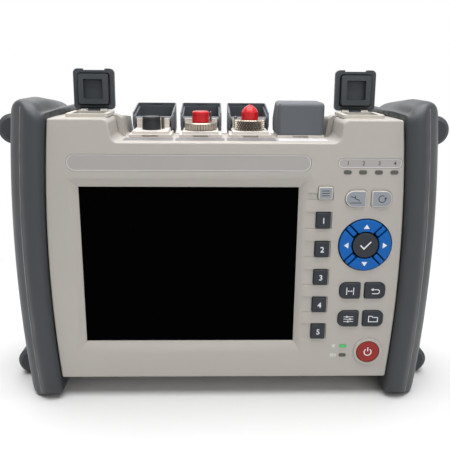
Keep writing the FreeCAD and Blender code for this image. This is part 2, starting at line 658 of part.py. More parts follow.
def corner_buffers():
    """Round rubber buffers, two let into each bumper."""
    buffers = []
    for z in BUFFER_Z:
        disc = cylinder_y(BUFFER_X, z, BUFFER_R, BUFFER_Y - BUFFER_WIDTH / 2, BUFFER_Y + BUFFER_WIDTH / 2)
        disc = bevelled(disc, BUFFER_EDGE, lambda edge: edge.BoundBox.YLength < 0.01)
        buffers += [disc, mirrored(disc)]
    return buffers


# ---------------------------------------------------------------- face parts

def mat_y():
    """Front of the keypad mat: the keys' backs stop just short of it at full travel."""
    return FRONT_WALL + FLANGE_GAP + FLANGE_THICK + KEY_TRAVEL + MAT_GAP


def key_body(outline, flange, front):
    """A key: its cap through the wall, and the flange that keeps it in."""
    cap = outline(0.0, -front, FRONT_WALL + FLANGE_GAP + 0.1)
    cap = rounded(cap, KEY_EDGE_R, lambda edge: at_y(edge, -front))
    back = FRONT_WALL + FLANGE_GAP
    return fused([cap, flange(back, back + FLANGE_THICK)])


def plain_key(x, z, w, h, radii, proud=KEY_PROUD):
    """A key with a rectangular or D-shaped outline."""
    grow = KEY_GAP + KEY_FLANGE

    def outline(extra, y0, y1):
        return plate(x, z, w + 2 * extra, h + 2 * extra, [r + extra for r in radii], y0, y1)

    return key_body(outline, lambda y0, y1: outline(grow, y0, y1), proud)


def round_key(x, z, r, grow, proud):
    """A round key."""
    return key_body(lambda extra, y0, y1: cylinder_y(x, z, r + extra, y0, y1),
                    lambda y0, y1: cylinder_y(x, z, r + grow, y0, y1), proud)


def arrow_key(turn):
    """One quarter of the pad, with room for the dividers at its ends."""
    slot = DIVIDER_W / 2 + DIVIDER_GAP
    wide = PAD_OUT_R + 5

    def quarter(inner_r, outer_r, y0, y1):
        ring = cylinder_y(0, 0, outer_r, y0, y1).cut(cylinder_y(0, 0, inner_r, y0 - 1, y1 + 1))
        corner = slot * math.sqrt(2)
        wedge = Part.makePolygon([Vector(0, y0, corner), Vector(wide, y0, corner + wide),
                                  Vector(-wide, y0, corner + wide), Vector(0, y0, corner)])
        return ring.common(Part.Face(wedge).extrude(Vector(0, y1 - y0, 0)))

    cap = quarter(PAD_IN_R, PAD_OUT_R, -KEY_PROUD, FRONT_WALL + FLANGE_GAP + 0.1)
    cap = rounded(cap, KEY_EDGE_R, lambda edge: at_y(edge, -KEY_PROUD))
    back = FRONT_WALL + FLANGE_GAP
    flange = quarter(PAD_IN_R + 0.3, PAD_WELL_R + KEY_FLANGE, back, back + FLANGE_THICK)
    key = fused([cap, flange])
    key.rotate(Vector(0, 0, 0), Vector(0, 1, 0), turn)
    key.translate(Vector(PAD_X, 0, PAD_Z))
    return key


def pad_dividers():
    """Four small fixed bars between the arrow keys, standing on the mat."""
    bars = []
    inner, outer = OK_R + 1.1, PAD_OUT_R - 0.1
    for i in range(4):
        bar = plate(0, (inner + outer) / 2, DIVIDER_W, outer - inner, [0.9] * 4,
                    -KEY_PROUD + 0.25, mat_y())
        bar = bevelled(bar, 0.35, lambda edge: at_y(edge, -KEY_PROUD + 0.25))
        bar.rotate(Vector(0, 0, 0), Vector(0, 1, 0), 45 + 90 * i)
        bar.translate(Vector(PAD_X, 0, PAD_Z))
        bars.append(bar)
    return bars


def light_pipe(x, z):
    """A small rounded lens with a flange behind the wall."""
    lens = plate(x, z, LED_W, LED_H, [LED_H / 2 - 0.01] * 4, -LED_PROUD, FRONT_WALL + 0.1)
    flange = plate(x, z, LED_W + 1.4, LED_H + 1.4, [1.0] * 4, FRONT_WALL, FRONT_WALL + 0.7)
    return fused([lens, flange])


def face_plates():
    """Bare silver nameplate and the status plate above the lights."""
    seat = PLATE_RECESS
    name = plate(NAMEPLATE_X, NAMEPLATE_Z, NAMEPLATE_W, NAMEPLATE_H, [4.0] * 4, seat - PLATE_THICK, seat)
    status = plate(STATUS_X, STATUS_Z, STATUS_W, STATUS_H, [2.3] * 4, seat - PLATE_THICK, seat)
    return name, status


def display_parts():
    """Clear window in its seat, and the display module pressed against it."""
    x0, x1 = SCREEN_X - SCREEN_W / 2, SCREEN_X + SCREEN_W / 2
    z0, z1 = SCREEN_Z - SCREEN_H / 2, SCREEN_Z + SCREEN_H / 2
    m = WINDOW_MARGIN - 0.2
    front = BEVEL_DEPTH + LIP
    window = box(x0 - m, x1 + m, front, front + WINDOW_THICK, z0 - m, z1 + m)
    back = front + WINDOW_THICK
    module = box(x0 - m, x1 + m, back, back + DISPLAY_THICK, z0 - m, z1 + m)
    return window, module


def keypad_layers():
    """Rubber mat and the board behind it, both clear of the bosses that hold the board."""
    (x0, x1), (z0, z1) = BOARD_X, BOARD_Z
    front = mat_y()
    seat = front + MAT_THICK
    mat = box(x0 + 0.6, x1 - 0.6, front, seat, z0 + 0.6, z1 - 0.6)
    holes = [cylinder_y(x, z, BOSS_R + BOSS_GAP, 0, seat + 1) for x, z in BOARD_BOSSES]
    columns = [cylinder_y(x, z, SCREW_BOSS_R + BOSS_GAP, 0, PARTING_Y) for x, z in SCREW_SPOTS]
    board = box(x0, x1, seat, seat + BOARD_THICK, z0, z1)
    return less(mat, holes + columns), less(board, columns)


def boards():
    """Main board on its posts, and the optical module on the back of it."""
    z0, z1 = MAIN_BOARD_Z
    main = box(-MAIN_BOARD_HALF, MAIN_BOARD_HALF, MAIN_BOARD_Y, MAIN_BOARD_Y + BOARD_THICK, z0, z1)
    x0, x1, m0, m1 = MODULE_BOX
    back = MAIN_BOARD_Y + BOARD_THICK
    module = box(x0, x1, back, back + MODULE_THICK, m0, m1)
    module = rounded(module, 1.5, lambda edge: runs_along(edge, "y"))
    return main, module


# ---------------------------------------------------------------- battery and stand

def pack_back():
    """Back of the battery pack, just inside the door."""
    return CASE_DEPTH - DOOR_THICK - 0.4


def door_outline(grow):
    """Corners of the battery door, grown by a clearance."""
    x = PACK_HALF + PACK_GAP + DOOR_LAP + grow
    z0 = PACK_Z[0] - PACK_GAP - DOOR_LAP - grow
    z1 = PACK_Z[1] + PACK_GAP + DOOR_TOP_LAP + grow
    return x, z0, z1


def door_screw_z():
    """Height of the door's screws, in the middle of its upper lap."""
    return PACK_Z[1] + PACK_GAP + DOOR_TOP_LAP / 2


def hook(x0, x1, z_low, z_high, grow):
    """One hook of the door, which goes in under the edge of its seat."""
    top = CASE_DEPTH - DOOR_THICK
    return [box(x0 - grow, x1 + grow, top - HOOK_THICK - 0.3 - grow, top + 0.01, z_low, z_high),
            box(x0 - grow, x1 + grow, top - HOOK_THICK - 0.3 - grow, top - 0.3 + grow,
                z_low - HOOK_REACH - DOOR_GAP - grow, z_low + 0.1)]


def hooks(grow):
    """Both hooks, or the room for them."""
    z0 = door_outline(0)[1] + DOOR_LAP
    inside = z0 - DOOR_LAP + 0.2
    return hook(*HOOK_X, inside, z0 + 0.5, grow) + hook(-HOOK_X[1], -HOOK_X[0], inside, z0 + 0.5, grow)


def door_seat():
    """Recess of the battery door, its hook slots and screw holes."""
    x, z0, z1 = door_outline(DOOR_GAP)
    middle = (z0 + z1) / 2
    seat = plate(0, middle, 2 * x, z1 - z0, [2.0] * 4, CASE_DEPTH - DOOR_THICK, CASE_DEPTH + 1)
    deep = CASE_DEPTH - REAR_WALL + 0.8
    holes = [cylinder_y(s * DOOR_SCREW_X, door_screw_z(), 1.1, deep, CASE_DEPTH) for s in (-1, 1)]
    return [seat] + hooks(0.25) + holes


def battery_door():
    """Door with two hooks below and two screws above."""
    x, z0, z1 = door_outline(0)
    panel = plate(0, (z0 + z1) / 2, 2 * x, z1 - z0, [1.8] * 4, CASE_DEPTH - DOOR_THICK, CASE_DEPTH)
    door = fused([panel] + hooks(0))
    top = CASE_DEPTH - 1.2
    holes = []
    for s in (-1, 1):
        holes.append(cylinder_y(s * DOOR_SCREW_X, door_screw_z(), 2.5, top, CASE_DEPTH + 1))
        holes.append(cylinder_y(s * DOOR_SCREW_X, door_screw_z(), 1.3, CASE_DEPTH - 5, CASE_DEPTH))
    return less(door, holes)


def door_screws():
    """Two short screws that hold the battery door."""
    screws = []
    for s in (-1, 1):
        x, z = s * DOOR_SCREW_X, door_screw_z()
        head = cylinder_y(x, z, 2.3, CASE_DEPTH - 1.2, CASE_DEPTH - 0.1)
        shank = cylinder_y(x, z, 1.0, CASE_DEPTH - REAR_WALL + 1.0, CASE_DEPTH - 1.1)
        slot = box(x - 1.8, x + 1.8, CASE_DEPTH - 0.6, CASE_DEPTH, z - 0.3, z + 0.3)
        screws.append(fused([head, shank]).cut(slot))
    return screws


def battery_pack():
    """Battery pack in its bay."""
    z0, z1 = PACK_Z
    back = pack_back()
    pack = box(-PACK_HALF, PACK_HALF, back - PACK_DEPTH + 0.3, back, z0, z1)
    return rounded(pack, 2.0, lambda edge: runs_along(edge, "y"))


def stand_y():
    """Front, pivot and back depth of the stand, sunk just below the back."""
    back = CASE_DEPTH - STAND_GAP
    return back - STAND_THICK, back - STAND_THICK / 2, back


def stand_groove():
    """U-shaped groove for the stand, and the holes for its pins."""
    front, pivot, _ = stand_y()
    g = STAND_GAP
    floor = front - g
    outer, inner = STAND_HALF + g, STAND_HALF - STAND_BAR - g
    top = STAND_PIVOT_Z + STAND_THICK / 2 + g
    bottom = STAND_FOOT_Z - g
    cuts = [box(s * inner if s > 0 else -outer, outer if s > 0 else -inner, floor,
                CASE_DEPTH + 1, bottom, top) for s in (-1, 1)]
    cuts.append(box(-outer, outer, floor, CASE_DEPTH + 1, bottom, STAND_FOOT_Z + STAND_BAR + g))
    thumb = cylinder_y(0, STAND_FOOT_Z + STAND_BAR, 7.0, floor, CASE_DEPTH + 1)
    reach = STAND_HALF + g + STAND_PIN_OUT
    cuts.append(cylinder_x(pivot, STAND_PIVOT_Z, STAND_PIN_R + 0.05, -reach, reach))
    return cuts + [thumb]


def rear_stand():
    """Bail that swings out behind the unit, hung on two pins at the top of its legs."""
    front, pivot, back = stand_y()
    t = STAND_THICK
    legs = []
    for s in (-1, 1):
        x0, x1 = sorted((s * STAND_HALF, s * (STAND_HALF - STAND_BAR)))
        legs.append(box(x0, x1, front, back, STAND_FOOT_Z, STAND_PIVOT_Z))
        legs.append(cylinder_x(pivot, STAND_PIVOT_Z, t / 2, x0, x1))
    bar = box(-STAND_HALF, STAND_HALF, front, back, STAND_FOOT_Z, STAND_FOOT_Z + STAND_BAR)
    bail = fused(legs + [bar])
    corners = STAND_HALF - 0.01
    bail = rounded(bail, 3.5, lambda edge: runs_along(edge, "y") and edge.CenterOfMass.z < STAND_FOOT_Z + 1
                   and abs(edge.CenterOfMass.x) > corners)
    return bail.cut(cylinder_x(pivot, STAND_PIVOT_Z, STAND_PIN_R + 0.05, -STAND_HALF - 1, STAND_HALF + 1))


def stand_pins():
    """Two steel pins, from inside each leg out into the casing."""
    pivot = stand_y()[1]
    inner = STAND_HALF - STAND_BAR + 0.2
    length = STAND_BAR + STAND_GAP + STAND_PIN_OUT - 0.4
    pin = cylinder_x(pivot, STAND_PIVOT_Z, STAND_PIN_R, inner, inner + length)
    return [pin, mirrored(pin)]


# ---------------------------------------------------------------- port bays

def bay_places():
    """Number and x of each bay, from the left."""
    return [(i + 1, (i - 1.5) * BAY_PITCH) for i in range(4)]


def bay_width(bay):
    """Width of a bay's plinth."""
    return BLANK_BAY_W if bay == 4 else BAY_W


def hinge_wall_y():
    """Front and back of the wall behind a connector: clear of the widest nut."""
    front = BAY_AXIS_Y + max(RIBBED_NUT_R, KNURLED_NUT_R) + 0.4
    return front, front + HINGE_WALL_T


def pivot():
    """y and z of the lids' pivot."""
    return hinge_wall_y()[1] + HINGE_BACK, DECK_Z + HINGE_RISE


def port_base(bay, x):
    """Plinth of one bay, with the wall and knuckle that carry its lid."""
    wall_front, wall_back = hinge_wall_y()
    py, pz = pivot()
    half = bay_width(bay) / 2
    core = half - CORE_INSET
    plinth = box(x - half, x + half, BAY_FRONT, wall_back + 0.3, DECK_Z, DECK_Z + PLINTH_H)
    raised = box(x - core, x + core, BAY_FRONT + CORE_INSET, wall_back, DECK_Z, DECK_Z + CORE_H)
    raised = rounded(raised, 0.5, lambda edge: edge.BoundBox.ZMin > DECK_Z + CORE_H - 0.01)
    wall = box(x - HINGE_WALL_HALF, x + HINGE_WALL_HALF, wall_front, wall_back,
               DECK_Z, DECK_Z + HINGE_WALL_TOP)
    arm = box(x - KNUCKLE_HALF, x + KNUCKLE_HALF, wall_back - 0.1, py, pz - KNUCKLE_R, pz + KNUCKLE_R)
    eye = cylinder_x(py, pz, KNUCKLE_R, x - KNUCKLE_HALF, x + KNUCKLE_HALF)
    base = fused([plinth, raised, wall, arm.cut(box(x - 9, x + 9, 0, 99, DECK_Z + 30, DECK_Z + 40)), eye])
    slot = box(x - SLOT_HALF, x + SLOT_HALF, BAY_FRONT - 1, BAY_FRONT + SLOT_DEEP,
               DECK_Z + 0.3, DECK_Z + 0.3 + SLOT_H)
    bore = cylinder_x(py, pz, HINGE_BORE_R, x - KNUCKLE_HALF - 1, x + KNUCKLE_HALF + 1)
    r = CONNECTORS[bay][0] + CONNECTOR_GAP
    return less(base, [slot, bore, cylinder_z(x, BAY_AXIS_Y, r, DECK_Z - 1, DECK_Z + CORE_H + 1)])


def port_lid(bay, x):
    """Box lid of one bay, closed: shell, cheeks that reach past the pivot, and hinge barrels."""
    py, pz = pivot()
    half = (BLANK_LID_W if bay == 4 else LID_W) / 2
    front, rim, top = BAY_FRONT + 0.1, DECK_Z + LID_RIM, DECK_Z + LID_TOP
    flat, tail = py - LID_FLAT, py + LID_TAIL
    tail_top = pz + LID_TAIL_TOP
    outline = [(front, rim), (front, top), (flat, top), (tail, tail_top), (tail, pz - 2.0), (py + 1.5, rim)]
    shell = profile_x(outline, x - half, x + half)
    shell = rounded(shell, LID_EDGE_R, lambda edge: edge.BoundBox.ZMin > tail_top - 0.01
                    and edge.BoundBox.YMax < tail + 0.01 and edge.BoundBox.ZMax - rim > 1
                    and not (runs_along(edge, "x") and edge.CenterOfMass.y > front + 1))
    shell = rounded(shell, LID_EDGE_R - 0.2, lambda edge: runs_along(edge, "z")
                    and abs(edge.CenterOfMass.y - front) < 0.01)
    w = LID_WALL
    slope = (top - tail_top) / (tail - flat)
    drop = w * math.sqrt(1 + slope * slope)
    roof_end = py + LID_ROOF_END
    flat_end = flat + (w - drop) / slope
    hollow = [(front + w, rim - 5), (front + w, top - w), (flat_end, top - w),
              (roof_end, top - drop - slope * (roof_end - flat)), (roof_end, top + 5),
              (tail + 5, top + 5), (tail + 5, rim - 5)]
    inner, rim_inner = half - LID_SIDE_WALL, half - LID_RIM_WALL
    step = box(x - rim_inner, x + rim_inner, front + LID_RIM_WALL, tail + 5, rim - 5, rim + LID_STEP)
    shell = less(shell, [profile_x(hollow, x - inner, x + inner), step])
    near = KNUCKLE_HALF + HINGE_SIDE_GAP
    barrels = [cylinder_x(py, pz, BARREL_R, x + near, x + inner + 0.1),
               cylinder_x(py, pz, BARREL_R, x - inner - 0.1, x - near)]
    lid = fused([shell] + barrels)
    reach = pin_half() + 0.2
    catch = box(x - LATCH_HALF, x + LATCH_HALF, front + LATCH_SKIN, front + w + 1,
                rim + LATCH_RISE, rim + LATCH_RISE + LATCH_H)
    return less(lid, [cylinder_x(py, pz, HINGE_BORE_R, x - reach, x + reach), catch])


def pin_half():
    """Half length of a lid's hinge pin, the same in every bay."""
    return LID_W / 2 - LID_SIDE_WALL + 0.2


def opened(shape, y, z, degrees):
    """A closed lid or cap, turned back about its pivot."""
    turned = shape.copy()
    turned.rotate(Vector(0, y, z), Vector(1, 0, 0), -degrees)
    return turned


def connector(bay, x):
    """Connector body of one bay, with the bore for a ferrule down its middle."""
    r, rise = CONNECTORS[bay]
    body = cylinder_z(x, BAY_AXIS_Y, r, DECK_Z - BARREL_FOOT, DECK_Z + rise)
    collar = cylinder_z(x, BAY_AXIS_Y, r + 1.6, DECK_Z - BARREL_FOOT, DECK_Z - WALL)
    return fused([body, collar]).cut(cylinder_z(x, BAY_AXIS_Y, FERRULE_R, DECK_Z - 4, DECK_Z + rise + 1))


def nut(bay, x, r, height, ribs):
    """Threaded ring that turns on a connector, ribbed round its edge."""
    low = DECK_Z + CORE_H + NUT_GAP
    ring = cylinder_z(x, BAY_AXIS_Y, r, low, low + height)
    ring = bevelled(ring, 0.4, lambda edge: edge.BoundBox.ZLength < 0.01)
    notches = []
    if ribs:
        for i in range(ribs):
            turn = 2 * math.pi * i / ribs
            nx, ny = x + r * math.cos(turn), BAY_AXIS_Y + r * math.sin(turn)
            notches.append(Part.makeBox(0.5, 0.5, height - 1.0, Vector(-0.25, -0.25, low + 0.5)))
            notches[-1].rotate(Vector(0, 0, 0), Vector(0, 0, 1), math.degrees(turn) + 45)
            notches[-1].translate(Vector(nx, ny, 0))
    bore = cylinder_z(x, BAY_AXIS_Y, CONNECTORS[bay][0] + NUT_BORE_GAP, low - 1, low + height + 1)
    return less(ring, notches + [bore])


def cap_bore(bay, x, low):
    """Blind hole of a dust cap, over its connector."""
    r, rise = CONNECTORS[bay]
    return cylinder_z(x, BAY_AXIS_Y, r + CAP_BORE_GAP, low - 1, DECK_Z + rise + CAP_LIFT)


def cap_groove(x, r, top):
    """Ring cut from a cap a little below its top."""
    z1 = top - GROOVE_DOWN
    ring = cylinder_z(x, BAY_AXIS_Y, r + 1, z1 - GROOVE_H, z1)
    return ring.cut(cylinder_z(x, BAY_AXIS_Y, r - GROOVE_DEEP, z1 - 1, z1 + 1))


def dust_caps():
    """Black tapered cap, flat red cap and domed red cap, each pushed over its connector."""
    places = dict(bay_places())
    core = DECK_Z + CORE_H
    low = core + CAP_LIFT
    x = places[1]
    black = Part.makeCone(BLACK_CAP_R, BLACK_CAP_TOP_R, BLACK_CAP_H, Vector(x, BAY_AXIS_Y, low))
    black = rounded(black, 0.8, lambda edge: edge.BoundBox.ZMin > low + BLACK_CAP_H - 0.01)
    black = less(black, [cap_bore(1, x, low), cap_groove(x, BLACK_CAP_TOP_R, low + BLACK_CAP_H)])
    x = places[2]
    low = core + NUT_GAP + RIBBED_NUT_H + CAP_LIFT
    flat = cylinder_z(x, BAY_AXIS_Y, CAP_R, low, low + FLAT_CAP_H)
    flat = rounded(flat, 1.0, lambda edge: edge.BoundBox.ZMin > low + FLAT_CAP_H - 0.01)
    flat = less(flat, [cap_bore(2, x, low), cap_groove(x, CAP_R, low + FLAT_CAP_H)])
    x = places[3]
    low = core + NUT_GAP + KNURLED_NUT_H + CAP_LIFT
    side = low + DOME_START
    crown = low + DOME_CAP_H

    def at(r, z):
        return Vector(x + r, BAY_AXIS_Y, z)

    shoulder = at(CAP_R * 0.74, (side + crown) / 2)
    half = [Part.LineSegment(at(0, low), at(CAP_R, low)),
            Part.LineSegment(at(CAP_R, low), at(CAP_R, side)),
            Part.Arc(at(CAP_R, side), shoulder, at(TIP_R, crown - TIP_H)),
            Part.LineSegment(at(TIP_R, crown - TIP_H), at(0, crown)),
            Part.LineSegment(at(0, crown), at(0, low))]
    half = Part.Face(Part.Wire([line.toShape() for line in half]))
    dome = half.revolve(Vector(x, BAY_AXIS_Y, 0), Vector(0, 0, 1), 360)
    return black, flat, dome.cut(cap_bore(3, x, low))


def latch_posts():
    """Thin polished posts beside three of the connectors."""
    places = dict(bay_places())
    posts = []
    for bay, dx, dy, height, r in POST_SPOTS:
        low = DECK_Z + CORE_H
        post = cylinder_z(places[bay] + dx, BAY_AXIS_Y + dy, r, low, low + height)
        posts.append(bevelled(post, 0.25, lambda edge: edge.BoundBox.ZMin > low + height - 0.01))
    return posts


# ---------------------------------------------------------------- shoulder ports

def side_pivot():
    """y and z of the square caps' pivot."""
    return SIDE_PIVOT_Y, SHOULDER_Z + SIDE_PIVOT_RISE


def port_frame(x):
    """Plate round a square port, with the two knuckles of its cap's hinge."""
    py, pz = side_pivot()
    depth = SIDE_BACK - SIDE_FRONT
    frame = slab(x, SIDE_FRONT + depth / 2, SIDE_W, depth, 1.5, SHOULDER_Z, SHOULDER_Z + FRAME_H)
    knuckles = []
    for s in (-1, 1):
        x0, x1 = sorted((x + s * SIDE_KNUCKLE[0], x + s * SIDE_KNUCKLE[1]))
        knuckles.append(cylinder_x(py, pz, SIDE_KNUCKLE_R, x0, x1))
        knuckles.append(box(x0, x1, py - SIDE_KNUCKLE_R, py + SIDE_KNUCKLE_R, SHOULDER_Z + 1, pz))
    square = PORT_SQUARE + 2 * PORT_GAP
    hole = slab(x, PORT_Y, square, square, 1.0, SHOULDER_Z - 1, SHOULDER_Z + FRAME_H + 1)
    tongue_room = box(x - SIDE_TONGUE_HALF - 0.2, x + SIDE_TONGUE_HALF + 0.2, py - 2.3, SIDE_BACK + 1,
                      pz - 2.05, pz + 5)
    bore = cylinder_x(py, pz, SIDE_BORE_R, x - SIDE_KNUCKLE[1] - 1, x + SIDE_KNUCKLE[1] + 1)
    return less(fused([frame] + knuckles), [hole, tongue_room, bore])


def side_cap(x):
    """Square cap, closed: plate, rim, hollow plug that fills the port, and hinge tongue."""
    py, pz = side_pivot()
    low = SHOULDER_Z + FRAME_H + SIDE_CAP_RIM
    high = low + SIDE_CAP_T
    under = high - SIDE_CAP_PLATE
    back = py - SIDE_CAP_AHEAD
    depth = back - SIDE_CAP_FRONT
    middle = SIDE_CAP_FRONT + depth / 2
    body = slab(x, middle, SIDE_CAP_W, depth, 2.4, low, high)
    body = rounded(body, 0.9, lambda edge: edge.BoundBox.ZMin > high - 0.01)
    inner_w, inner_d = SIDE_CAP_W - 2 * SIDE_CAP_RIM_W, depth - 2 * SIDE_CAP_RIM_W
    body = body.cut(slab(x, middle, inner_w, inner_d, 1.6, low - 1, under))
    hinge_room = box(x - SIDE_KNUCKLE[1] - 0.4, x + SIDE_KNUCKLE[1] + 0.4, py - 2.2,
                     back + 1, low - 1, pz + SIDE_KNUCKLE_R + 0.35)
    notch = box(x - NOTCH_HALF, x + NOTCH_HALF, SIDE_CAP_FRONT - 1, SIDE_CAP_FRONT + NOTCH_DEEP,
                low - 1, high + 1)
    body = less(body, [hinge_room, notch])
    plug_low = low - PLUG_DROP
    plug = slab(x, PORT_Y, PORT_SQUARE, PORT_SQUARE, 1.2, plug_low, under + 0.1)
    pocket = slab(x, PORT_Y, PLUG_POCKET, PLUG_POCKET, 0.5, plug_low - 1, plug_low + PLUG_POCKET_DEEP)
    r = SIDE_KNUCKLE_R - 0.1
    t = SIDE_TONGUE_HALF
    tongue = fused([cylinder_x(py, pz, r, x - t, x + t), box(x - t, x + t, py - r, py + 0.8, pz, high - 0.9)])
    bore = cylinder_x(py, pz, SIDE_BORE_R, x - t - 1, x + t + 1)
    return less(fused([body, plug, tongue]), [pocket, bore])


def side_cap_pins():
    """Hinge pins of the two square caps."""
    py, pz = side_pivot()
    reach = SIDE_KNUCKLE[1] - 0.2
    return [cylinder_x(py, pz, SIDE_PIN_R, x - reach, x + reach) for x in (-SIDE_X, SIDE_X)]


def side_sockets():
    """Network jack under the left cap and data jack under the right one."""
    top = SHOULDER_Z - SOCKET_TOP_GAP
    size = PORT_SQUARE + 2 * PORT_GAP - 2 * SOCKET_GAP
    sockets = []
    for x, (w, d, deep) in ((-SIDE_X, (11.7, 8.2, 11.0)), (SIDE_X, (13.4, 6.2, 9.0))):
        body = slab(x, PORT_Y, size, size, 0.8, top - SOCKET_DEEP, top)
        mouth = box(x - w / 2, x + w / 2, PORT_Y - d / 2, PORT_Y + d / 2, top - deep, top + 1)
        sockets.append(body.cut(mouth))
    return sockets


# ---------------------------------------------------------------- everything

def build():
    """All the pieces at rest, by name."""
    parts = {"front_casing": [front_casing()], "rear_casing": [rear_casing()],
             "case_screws": case_screws()}
    right = bumper_right()
    parts["bumper_right"] = [right]
    parts["bumper_left"] = [mirrored(right)]
    parts["corner_buffers"] = corner_buffers()
    window, module = display_parts()
    name, status = face_plates()
    parts.update({"display_window": [window], "display_module": [module],
                  "nameplate": [name], "status_plate": [status]})
    parts["status_lights"] = [light_pipe(x, STATUS_LED_Z) for x in STATUS_LED_X]
    for light, spot in POWER_LEDS.items():
        parts[light] = [light_pipe(*spot)]
    for key, x, z, w, h in softkeys():
        parts[key] = [plain_key(x, z, w, h, (0.7,) * 4)]
    for key, x, z, w, h, radii in pair_keys():
        parts[key] = [plain_key(x, z, w, h, radii)]
    for i, side in enumerate(("up", "right", "down", "left")):
        parts[f"arrow_key_{side}"] = [arrow_key(90 * i)]
    parts["ok_key"] = [round_key(PAD_X, PAD_Z, OK_R, 0.4, KEY_PROUD + 0.1)]
    parts["power_key"] = [round_key(POWER_X, POWER_Z, POWER_R, KEY_GAP + 0.5, RING_PROUD - 0.2)]
    parts["pad_dividers"] = pad_dividers()
    mat, board = keypad_layers()
    main, optics = boards()
    parts.update({"keypad_mat": [mat], "keypad_board": [board], "main_board": [main],
                  "optical_module": [optics], "battery_pack": [battery_pack()],
                  "battery_door": [battery_door()], "door_screws": door_screws(),
                  "rear_stand": [rear_stand()], "stand_pins": stand_pins()})
    py, pz = pivot()
    pins = []
    for bay, x in bay_places():
        parts.setdefault("port_bases", []).append(port_base(bay, x))
        parts.setdefault("connectors", []).append(connector(bay, x))
        pins.append(cylinder_x(py, pz, HINGE_PIN_R, x - pin_half(), x + pin_half()))
        lid = port_lid(bay, x)
        parts[f"port_lid_{bay}"] = [lid if bay == 4 else opened(lid, py, pz, LID_OPEN)]
    parts["lid_pins"] = pins
    places = dict(bay_places())
    parts["ribbed_nut"] = [nut(2, places[2], RIBBED_NUT_R, RIBBED_NUT_H, RIB_COUNT)]
    parts["knurled_nut"] = [nut(3, places[3], KNURLED_NUT_R, KNURLED_NUT_H, 0)]
    black, flat, dome = dust_caps()
    parts.update({"black_dust_cap": [black], "flat_dust_cap": [flat], "domed_dust_cap": [dome],
                  "latch_posts": latch_posts()})
    sy, sz = side_pivot()
    parts["port_frames"] = [port_frame(-SIDE_X), port_frame(SIDE_X)]
    parts["side_cap_left"] = [opened(side_cap(-SIDE_X), sy, sz, SIDE_OPEN)]
    parts["side_cap_right"] = [opened(side_cap(SIDE_X), sy, sz, SIDE_OPEN)]
    parts["side_cap_pins"] = side_cap_pins()
    parts["side_sockets"] = side_sockets()
    return parts


def main():
    """Builds every piece, centres the footprint on the origin and writes one file per piece."""
    os.makedirs("parts", exist_ok=True)
    parts = build()
    whole = Part.makeCompound([solid for solids in parts.values() for solid in solids])
    whole = whole.optimalBoundingBox(False)
    shift = Vector(0, -(whole.YMin + whole.YMax) / 2, 0)
    size = f"{whole.XLength:.2f} x {whole.YLength:.2f} x {whole.ZLength:.2f}"
    print(f"front face at y = {shift.y:.3f}, size {size}")
    for name, solids in parts.items():
        for solid in solids:
            solid.translate(shift)
        shape = solids[0] if len(solids) == 1 else Part.makeCompound(solids)
        if not shape.isValid() or len(shape.Solids) != len(solids):
            print(f"check {name}: {len(shape.Solids)} solids for {len(solids)}, valid {shape.isValid()}")
        shape.exportStep(f"parts/{name}.step")
    print(f"{len(parts)} nodes; lid pivot y {pivot()[0] + shift.y:.3f} z {pivot()[1]:.3f}; "
          f"cap pivot y {side_pivot()[0] + shift.y:.3f} z {side_pivot()[1]:.3f}; "
          f"stand pivot y {stand_y()[1] + shift.y:.3f} z {STAND_PIVOT_Z:.3f}")


main()
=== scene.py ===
"""Looks of a handheld optical time domain reflectometer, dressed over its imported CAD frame."""

from __future__ import annotations

import json
import logging
import math
from dataclasses import dataclass
from enum import Enum

import bmesh
import bpy
from mathutils import Matrix, Vector

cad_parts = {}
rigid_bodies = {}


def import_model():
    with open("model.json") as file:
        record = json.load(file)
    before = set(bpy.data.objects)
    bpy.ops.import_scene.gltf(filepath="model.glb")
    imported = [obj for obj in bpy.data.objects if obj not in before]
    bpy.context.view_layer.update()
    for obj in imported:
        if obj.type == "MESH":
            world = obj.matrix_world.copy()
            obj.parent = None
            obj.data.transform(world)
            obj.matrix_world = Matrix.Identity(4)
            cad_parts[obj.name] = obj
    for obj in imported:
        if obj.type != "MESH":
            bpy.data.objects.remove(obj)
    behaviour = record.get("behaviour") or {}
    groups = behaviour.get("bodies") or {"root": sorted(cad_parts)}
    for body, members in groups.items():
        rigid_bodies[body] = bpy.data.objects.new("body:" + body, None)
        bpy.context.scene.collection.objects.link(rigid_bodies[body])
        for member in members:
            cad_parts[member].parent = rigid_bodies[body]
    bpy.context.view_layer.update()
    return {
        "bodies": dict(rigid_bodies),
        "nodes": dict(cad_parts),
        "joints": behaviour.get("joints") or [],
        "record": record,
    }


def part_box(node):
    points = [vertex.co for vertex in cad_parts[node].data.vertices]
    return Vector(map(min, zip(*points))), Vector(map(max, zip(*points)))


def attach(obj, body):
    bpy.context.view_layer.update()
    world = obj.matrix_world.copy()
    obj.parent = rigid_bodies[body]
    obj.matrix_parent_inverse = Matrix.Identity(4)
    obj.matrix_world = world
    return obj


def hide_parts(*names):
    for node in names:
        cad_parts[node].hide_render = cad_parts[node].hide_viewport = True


LOG = logging.getLogger("otdr")
MM = 0.001
HOUSING = "housing"
FACE_TO_WINDOW = 3.4 * MM   # the display window lies this far behind the face
PRINT_HEIGHT = 0.03 * MM    # printed marks stand this far off their surface
PRINT_SINK = 0.06 * MM      # and reach this far into it
MERGE = 2e-6                # corners nearer than this are one corner
LEVEL = 0.02 * MM           # points this near a plane lie in it
SHARP_EDGE = math.radians(34.0)   # edges that turn by more stay sharp
PURE_WHITE = (1.0, 1.0, 1.0, 1.0)


